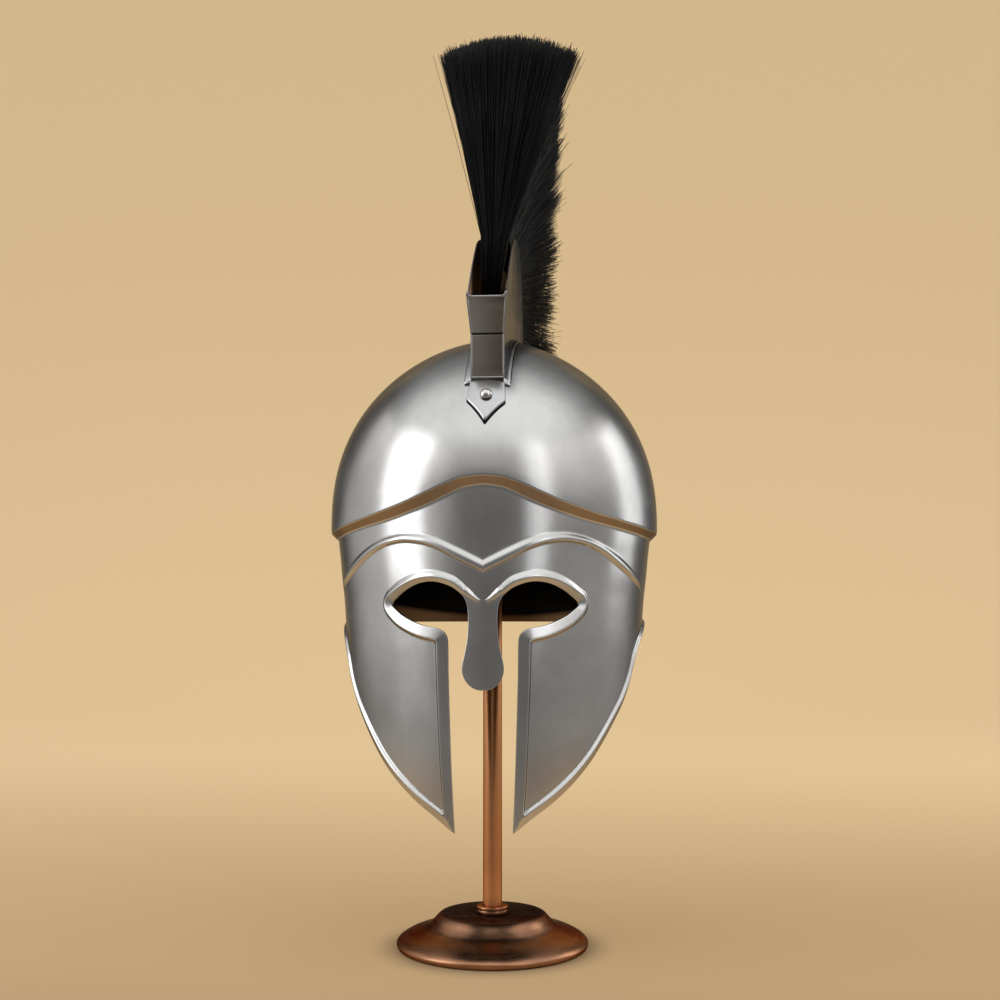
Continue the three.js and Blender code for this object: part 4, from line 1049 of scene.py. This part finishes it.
def hair_point(u, along, across):
    root_y = HAIR_FRONT + (HAIR_REAR - HAIR_FRONT) * u
    root_z = curve_at(ARCH_Y, ARCH_Z, root_y) - HAIR_DROP
    angle = np.radians(curve_at(FAN_U, FAN_DEG, u))
    reach = curve_at(FAN_U, FAN_LENGTH, u) * along
    lean = (HAIR_LEAN_FRONT + (HAIR_LEAN_REAR - HAIR_LEAN_FRONT) * u) * along
    px, py = box_plan(across + lean, root_y + reach * np.sin(angle))
    return np.stack([px, py, root_z + reach * np.cos(angle)], axis=-1)


def hair_half(u, along):
    wide = curve_at(SPREAD_ALONG, SPREAD_WIDE, along)
    spread = curve_at(FAN_U, FAN_HALF, u) - HAIR_ROOT_HALF
    return HAIR_ROOT_HALF + spread * wide ** (1 + HAIR_REAR_HOLD * u)


def hair_side(u, place):
    return place * np.where(place < 0, 1 - LEFT_NARROWS * u, 1)


def hair_trim(u, place):
    wave = TRIM_WAVE * np.cos(u * 40 + place * 2)
    return 1 - TRIM_ROUND * place ** 2 - TRIM_SLOPE * place - wave


def hair_finish(name, dark, pale, rough):
    finish, tree, skin = new_finish(name)
    link = tree.links.new
    tone = node_in(tree, "ShaderNodeAttribute", attribute_name="hair_tone")
    shade = ramp_in(tree, [(0.0, dark), (1.0, pale)])
    link(tone.outputs["Fac"], shade.inputs["Fac"])
    link(shade.outputs["Color"], skin.inputs["Base Color"])
    place = node_in(tree, "ShaderNodeTexCoord")
    oil = node_in(tree, "ShaderNodeTexNoise", Scale=60.0, Detail=3.0)
    link(place.outputs["Object"], oil.inputs["Vector"])
    gloss = ramp_in(tree, [(0.3, grey(rough - 0.08)), (0.7, grey(rough + 0.1))])
    link(oil.outputs["Fac"], gloss.inputs["Fac"])
    link(gloss.outputs["Color"], skin.inputs["Roughness"])
    skin.inputs["Specular IOR Level"].default_value = 0.2
    return finish


black_hair = hair_finish("black_hair", (0.0012, 0.0012, 0.0014), (0.012, 0.012, 0.013), 0.36)

start_fresh()
bpy.ops.mesh.primitive_cube_add(size=2.0)
hair_core = bpy.context.object
hair_core.name = hair_core.data.name = "hair_core"
bpy.ops.object.mode_set(mode="EDIT")
bpy.ops.mesh.select_all(action="SELECT")
bpy.ops.mesh.subdivide(number_cuts=31)
bpy.ops.object.mode_set(mode="OBJECT")
cube = np.empty(len(hair_core.data.vertices) * 3)
hair_core.data.vertices.foreach_get("co", cube)
cube = cube.reshape(-1, 3)
core_u = 0.5 + CORE_SPAN * cube[:, 1]
core_a = cube[:, 0] * (1 - CORE_TAPER * cube[:, 1] ** 4)
core_t = 0.5 + 0.5 * cube[:, 2]
core_reach = CORE_REACH - CORE_SHORTER * core_u ** 1.5
core_t = 0.01 + core_reach * core_t * hair_trim(core_u, core_a)
groove = 0.955 + 0.02 * np.sin(core_u * 190 + core_a * 9) + 0.015 * np.sin(core_u * 77 + 1.3)
core_side = hair_side(core_u, core_a) * hair_half(core_u, core_t)
core = hair_point(core_u, core_t, core_side * groove * CORE_INSET)
hair_core.data.vertices.foreach_set("co", (core * MM).ravel())
hair_core.data.attributes.new("hair_tone", "FLOAT", "POINT")
start_fresh()
bpy.context.view_layer.objects.active = hair_core
hair_core.select_set(True)
bpy.ops.object.mode_set(mode="EDIT")
bpy.ops.mesh.select_all(action="SELECT")
bpy.ops.mesh.normals_make_consistent(inside=False)
bpy.ops.object.mode_set(mode="OBJECT")
bpy.ops.object.shade_smooth_by_angle(angle=math.radians(50))
hair_core.data.materials.append(black_hair)
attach(hair_core, "root")
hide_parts("plume")

HAIR_STATIONS = np.array([0.0, 0.3, 0.65, 1.0])
HAIR_THICK = np.array([0.95, 1.0, 1.0, 0.7])
HAIR_CUT, HAIR_SNUG = 0.962, 0.975
EDGE_DEPTH, CROSS_SHARE, CROSS_GAIN = 0.16, 0.14, 2.4
DRIFT_ALONG, DRIFT_ACROSS, WANDER_REACH = 0.010, 0.045, 30
LOOSE_SHARE, LOOSE_LEAST, LOOSE_MOST = 0.03, 1.0, 1.17
SHORT_SHARE, SHORT_BY, TUFT_GAIN, LONGEST, END_DEPTH = 0.2, 0.03, 1.6, 1.03, 0.02


def comb_hairs(name, seed, count, u_range, side_bias, end_share, radius, tone, ragged, stray):
    dice = np.random.default_rng(seed)
    u = u_range[0] + (u_range[1] - u_range[0]) * dice.random(count)
    u = np.where(dice.random(count) < end_share, u_range[1] - END_DEPTH * dice.random(count), u)
    place = dice.uniform(-1, 1, count)
    edge = np.sign(place) * (1 - EDGE_DEPTH * dice.random(count) ** 1.5)
    place = np.where(dice.random(count) < side_bias, edge, place)
    crossing = np.where(dice.random(count) < CROSS_SHARE, CROSS_GAIN, 1.0)
    drift_u = dice.normal(0, DRIFT_ALONG, count) * crossing
    drift_a = dice.normal(0, DRIFT_ACROSS, count) * crossing
    wander = dice.normal(0, stray, count)
    is_loose = dice.random(count) < LOOSE_SHARE
    loose = np.where(is_loose, dice.uniform(LOOSE_LEAST, LOOSE_MOST, count), HAIR_SNUG)
    length = hair_trim(u, place) * (1 + dice.normal(0, ragged, count))
    length = length * (1 - SHORT_BY * (dice.random(count) < SHORT_SHARE))
    tufts = 0.6 * np.sin(u * 63 + place * 2) + 0.4 * np.sin(u * 117 + place * 7 + 1.0)
    length = np.minimum(length * (1 + TUFT_GAIN * ragged * tufts), LONGEST) * HAIR_CUT
    points = []
    for t in HAIR_STATIONS:
        along = np.clip(t * length, 0.012, None)
        uu = np.clip(u + drift_u * t, 0, 1)
        share = np.clip((place + drift_a * t) * (1 + (loose - HAIR_SNUG) * t), -loose, loose)
        across = hair_side(uu, share) * hair_half(uu, along) + wander * t ** 2 * WANDER_REACH
        points.append(hair_point(uu, along, across))
    points = np.stack(points, axis=1)
    way = unit(np.gradient(points, axis=1))
    roll = dice.uniform(0, 2 * math.pi, count)
    guide = np.stack([np.cos(roll), np.sin(roll), 0 * roll], axis=-1)[:, None, :]
    first = unit(np.cross(way, guide + [0, 0, 1e-3]))
    second = np.cross(way, first)
    thick = radius * dice.uniform(0.75, 1.2, count)
    body = []
    for k in range(3):
        turn = 2 * math.pi * k / 3
        ring = first * math.cos(turn) + second * math.sin(turn)
        body.append(points + ring * (thick[:, None] * HAIR_THICK[None, :])[..., None])
    body = np.stack(body, axis=2).reshape(count, -1, 3)
    faces = [(0, 2, 1)]
    for ring in range(3):
        for k in range(3):
            a, b = ring * 3 + k, ring * 3 + (k + 1) % 3
            faces += [(a, b, b + 3), (a, b + 3, a + 3)]
    faces += [(9, 10, 11)]
    faces = np.array(faces)
    each = body.shape[1]
    corners = (faces[None] + (np.arange(count) * each)[:, None, None]).reshape(-1, 3)
    mesh = bpy.data.meshes.new(name)
    mesh.vertices.add(count * each)
    mesh.vertices.foreach_set("co", (body * MM).ravel())
    mesh.loops.add(len(corners) * 3)
    mesh.loops.foreach_set("vertex_index", corners.ravel())
    mesh.polygons.add(len(corners))
    mesh.polygons.foreach_set("loop_start", np.arange(len(corners)) * 3)
    mesh.polygons.foreach_set("use_smooth", np.ones(len(corners), bool))
    mesh.update(calc_edges=True)
    mesh.validate()
    shade = np.clip(tone[0] + tone[1] * dice.random(count) ** 3, 0, 1)
    mesh.attributes.new("hair_tone", "FLOAT", "POINT").data.foreach_set("value", np.repeat(shade, each))
    piece = bpy.data.objects.new(name, mesh)
    bpy.context.collection.objects.link(piece)
    mesh.materials.append(black_hair)
    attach(piece, "root")
    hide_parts("plume")


comb_hairs("hair_front", 11, 9600, (0.0, 0.16), 0.30, 0.0, 0.19, (0.0, 1.0), 0.008, 0.06)
comb_hairs("hair_middle", 23, 8000, (0.08, 0.62), 0.55, 0.0, 0.24, (0.05, 0.9), 0.012, 0.06)
comb_hairs("hair_rear", 37, 9600, (0.5, 1.0), 0.56, 0.14, 0.25, (0.1, 0.8), 0.03, 0.065)


# Studio: a pale seamless paper that runs along the floor and up behind the helmet, in a grey room
# with large soft boxes left, right and rear right.
start_fresh()
ROOM_RADIUS, ROOM_BEND, ROOM_TALL, ROOM_SIDES = 2.2, 1.4, 3.2, 64
ROOM_LOW, ROOM_SIDE, ROOM_HIGH, ROOM_FLOOR, ROOM_RIGHT = 0.10, 0.38, 0.42, 0.10, -0.26
ROOM_PAINT, PAPER_TINT = (0.07, 0.065, 0.06), (0.44, 0.31, 0.175)
PAPER_GLOW, BACKDROP_GLOW = (0.20, 0.13, 0.06), (0.415, 0.322, 0.184)
PAPER_SLANT, PAPER_SHIFT, PAPER_WIDENS, PAPER_HALF, PAPER_FADE = 0.056, -0.005, 0.4, 0.40, 0.28
FOOT_SHADE = (0.056, 0.084)
rings = [(0.02, 0.0), (0.6, 0.0), (1.2, 0.0), (ROOM_RADIUS, 0.0)]
for a in np.linspace(0.15, math.pi / 2, 10):
    rings.append((ROOM_RADIUS + ROOM_BEND * math.sin(a), ROOM_BEND * (1 - math.cos(a))))
rings.append((ROOM_RADIUS + ROOM_BEND, ROOM_TALL))
around = [2 * math.pi * k / ROOM_SIDES for k in range(ROOM_SIDES)]
floor_points = [(r * math.cos(a), r * math.sin(a), z - 0.0002) for r, z in rings for a in around]
floor_faces = [list(range(ROOM_SIDES))]
for i in range(len(rings) - 1):
    for k in range(ROOM_SIDES):
        a, b = i * ROOM_SIDES + k, i * ROOM_SIDES + (k + 1) % ROOM_SIDES
        floor_faces.append([a, b, b + ROOM_SIDES, a + ROOM_SIDES])
floor_mesh = bpy.data.meshes.new("studio_floor")
floor_mesh.from_pydata(floor_points, [], floor_faces)
floor = bpy.data.objects.new("studio_floor", floor_mesh)
bpy.context.collection.objects.link(floor)
for face in floor_mesh.polygons:
    face.use_smooth = True
paper, paper_tree, paper_skin = new_finish("studio_paper")
paper_link = paper_tree.links.new


def graded(value, low, high):
    node = node_in(paper_tree, "ShaderNodeMapRange", interpolation_type="SMOOTHSTEP")
    node.inputs["From Min"].default_value = low
    node.inputs["From Max"].default_value = high
    paper_link(value, node.inputs["Value"])
    return node.outputs["Result"]


def reckoned(operation, a, b):
    node = node_in(paper_tree, "ShaderNodeMath", operation=operation)
    for socket, value in zip(node.inputs, (a, b)):
        if isinstance(value, (int, float)):
            socket.default_value = value
        else:
            paper_link(value, socket)
    return node.outputs["Value"]


paper_place = node_in(paper_tree, "ShaderNodeTexCoord")
paper_axes = node_in(paper_tree, "ShaderNodeSeparateXYZ")
paper_link(paper_place.outputs["Object"], paper_axes.inputs["Vector"])
slant = reckoned("MULTIPLY_ADD", paper_axes.outputs["Y"], PAPER_SLANT)
slant.node.inputs[2].default_value = PAPER_SHIFT
aside = reckoned("ABSOLUTE", reckoned("ADD", paper_axes.outputs["X"], slant), 0.0)
sheet_edge = reckoned("MULTIPLY_ADD", paper_axes.outputs["Y"], PAPER_WIDENS)
sheet_edge.node.inputs[2].default_value = PAPER_HALF
past_edge = reckoned("SUBTRACT", aside, sheet_edge)
off_sheet = graded(past_edge, 0.0, PAPER_FADE)
on_sheet = reckoned("SUBTRACT", 1.0, off_sheet)
not_front = graded(paper_axes.outputs["Y"], -0.5, -0.03)
sheet_here = reckoned("MULTIPLY", on_sheet, not_front)
wall_side = graded(aside, 1.5, 2.6)
wall_high = graded(paper_axes.outputs["Z"], 0.9, 3.0)
not_rear = reckoned("SUBTRACT", 1.0, graded(paper_axes.outputs["Y"], 1.6, 2.4))
room_light = reckoned("ADD", reckoned("MULTIPLY", wall_side, ROOM_SIDE),
                      reckoned("MULTIPLY", wall_high, ROOM_HIGH))
floor_level = reckoned("SUBTRACT", 1.0, graded(paper_axes.outputs["Z"], 0.0, 0.3))
floor_side = reckoned("MULTIPLY", floor_level, graded(aside, 0.2, 0.8))
room_light = reckoned("ADD", room_light, reckoned("MULTIPLY", floor_side, ROOM_FLOOR))
wall_low = reckoned("SUBTRACT", 1.0, graded(paper_axes.outputs["Z"], 0.5, 1.5))
wall_right = reckoned("MULTIPLY", wall_low, graded(paper_axes.outputs["X"], 1.5, 2.6))
room_light = reckoned("ADD", room_light, reckoned("MULTIPLY", wall_right, ROOM_RIGHT))
room_light = reckoned("MULTIPLY", room_light, not_rear)
room_light = reckoned("ADD", room_light, ROOM_LOW)
room_tone = node_in(paper_tree, "ShaderNodeCombineColor")
paper_link(room_light, room_tone.inputs["Red"])
paper_link(reckoned("MULTIPLY", room_light, 0.97), room_tone.inputs["Green"])
paper_link(reckoned("MULTIPLY", room_light, 0.93), room_tone.inputs["Blue"])
glow = node_in(paper_tree, "ShaderNodeMix", data_type="RGBA")
paper_link(sheet_here, glow.inputs["Factor"])
paper_link(room_tone.outputs["Color"], glow.inputs["A"])
paper_glow = ramp_in(paper_tree, [(0.0, PAPER_GLOW), (1.0, BACKDROP_GLOW)])
paper_link(graded(paper_axes.outputs["Y"], -0.15, 1.2), paper_glow.inputs["Fac"])
paper_link(paper_glow.outputs["Color"], glow.inputs["B"])
paper_link(glow.outputs["Result"], paper_skin.inputs["Emission Color"])
tint = node_in(paper_tree, "ShaderNodeMix", data_type="RGBA")
paper_link(sheet_here, tint.inputs["Factor"])
tint.inputs["A"].default_value = (*ROOM_PAINT, 1)
tint.inputs["B"].default_value = (*PAPER_TINT, 1)
paper_link(tint.outputs["Result"], paper_skin.inputs["Base Color"])
paper_skin.inputs["Roughness"].default_value = 0.9
paper_skin.inputs["Specular IOR Level"].default_value = 0.1
foot_x = reckoned("MULTIPLY", paper_axes.outputs["X"], paper_axes.outputs["X"])
foot_y = reckoned("MULTIPLY", paper_axes.outputs["Y"], paper_axes.outputs["Y"])
foot_away = reckoned("SQRT", reckoned("ADD", foot_x, foot_y), 0.0)
paper_link(graded(foot_away, *FOOT_SHADE), paper_skin.inputs["Emission Strength"])
paper.cycles.emission_sampling = "NONE"
floor_mesh.materials.append(paper)

AIM = Vector((0.0, 0.0, 0.33))


def soft_box(name, azimuth, elevation, distance, wide, tall, power):
    az, el = math.radians(azimuth), math.radians(elevation)
    toward = Vector((math.sin(az) * math.cos(el), -math.cos(az) * math.cos(el), math.sin(el)))
    spot = AIM + distance * toward
    lamp = bpy.data.lights.new(name, "AREA")
    lamp.shape = "RECTANGLE"
    lamp.size, lamp.size_y = wide, tall
    lamp.energy = power
    box = bpy.data.objects.new(name, lamp)
    box.location = spot
    box.rotation_euler = (AIM - spot).to_track_quat("-Z", "Y").to_euler()
    box.visible_camera = False
    bpy.context.collection.objects.link(box)


soft_box("soft_box_left", -66, 18, 1.5, 0.86, 1.3, 5.7)
soft_box("soft_box_right", 38, 18, 1.7, 0.48, 1.4, 1.9)
soft_box("soft_box_rear_right", 116, 14, 1.6, 0.72, 1.1, 3.1)

# Ceiling: a white studio ceiling lit from below, brightest in front of the helmet
# and darker behind it.
CEILING_LOW, CEILING_HIGH, CEILING_REAR = 0.25, 1.05, 0.28
world = bpy.data.worlds.new("studio_ceiling")
bpy.context.scene.world = world
world.use_nodes = True
ceiling_tree = world.node_tree
ceiling_link = ceiling_tree.links.new
ceiling_place = node_in(ceiling_tree, "ShaderNodeTexCoord")
ceiling_axes = node_in(ceiling_tree, "ShaderNodeSeparateXYZ")
ceiling_link(ceiling_place.outputs["Generated"], ceiling_axes.inputs["Vector"])
rise_up = node_in(ceiling_tree, "ShaderNodeMapRange", interpolation_type="SMOOTHSTEP")
for key, value in (("From Min", 0.45), ("From Max", 0.8), ("To Min", CEILING_LOW), ("To Max", CEILING_HIGH)):
    rise_up.inputs[key].default_value = value
ceiling_link(ceiling_axes.outputs["Z"], rise_up.inputs["Value"])
to_rear = node_in(ceiling_tree, "ShaderNodeMapRange", interpolation_type="SMOOTHSTEP")
for key, value in (("From Min", -0.1), ("From Max", 0.5), ("To Min", 1.0), ("To Max", CEILING_REAR)):
    to_rear.inputs[key].default_value = value
ceiling_link(ceiling_axes.outputs["Y"], to_rear.inputs["Value"])
ceiling_light = node_in(ceiling_tree, "ShaderNodeMath", operation="MULTIPLY")
ceiling_link(rise_up.outputs["Result"], ceiling_light.inputs[0])
ceiling_link(to_rear.outputs["Result"], ceiling_light.inputs[1])
ceiling_sky = ceiling_tree.nodes["Background"]
ceiling_sky.inputs["Color"].default_value = (1.0, 0.99, 0.97, 1)
ceiling_link(ceiling_light.outputs["Value"], ceiling_sky.inputs["Strength"])

# Camera: eye height level with the face slot, a little to the right of the helmet,
# tipped up slightly so that the crest and the foot both show.
CAMERA_PLACE, CAMERA_TIP, CAMERA_TURN, CAMERA_LENS = (0.05444, -0.88414, 0.2208), 94.91, 3.2, 46.8
view = bpy.data.cameras.new("studio_camera")
view.lens, view.sensor_width, view.sensor_fit = CAMERA_LENS, 36.0, "HORIZONTAL"
view.clip_start, view.clip_end = 0.05, 50
camera = bpy.data.objects.new("studio_camera", view)
camera.location = CAMERA_PLACE
camera.rotation_euler = (math.radians(CAMERA_TIP), 0, math.radians(CAMERA_TURN))
bpy.context.collection.objects.link(camera)
bpy.context.scene.camera = camera
bpy.context.scene.view_settings.view_transform = "Standard"
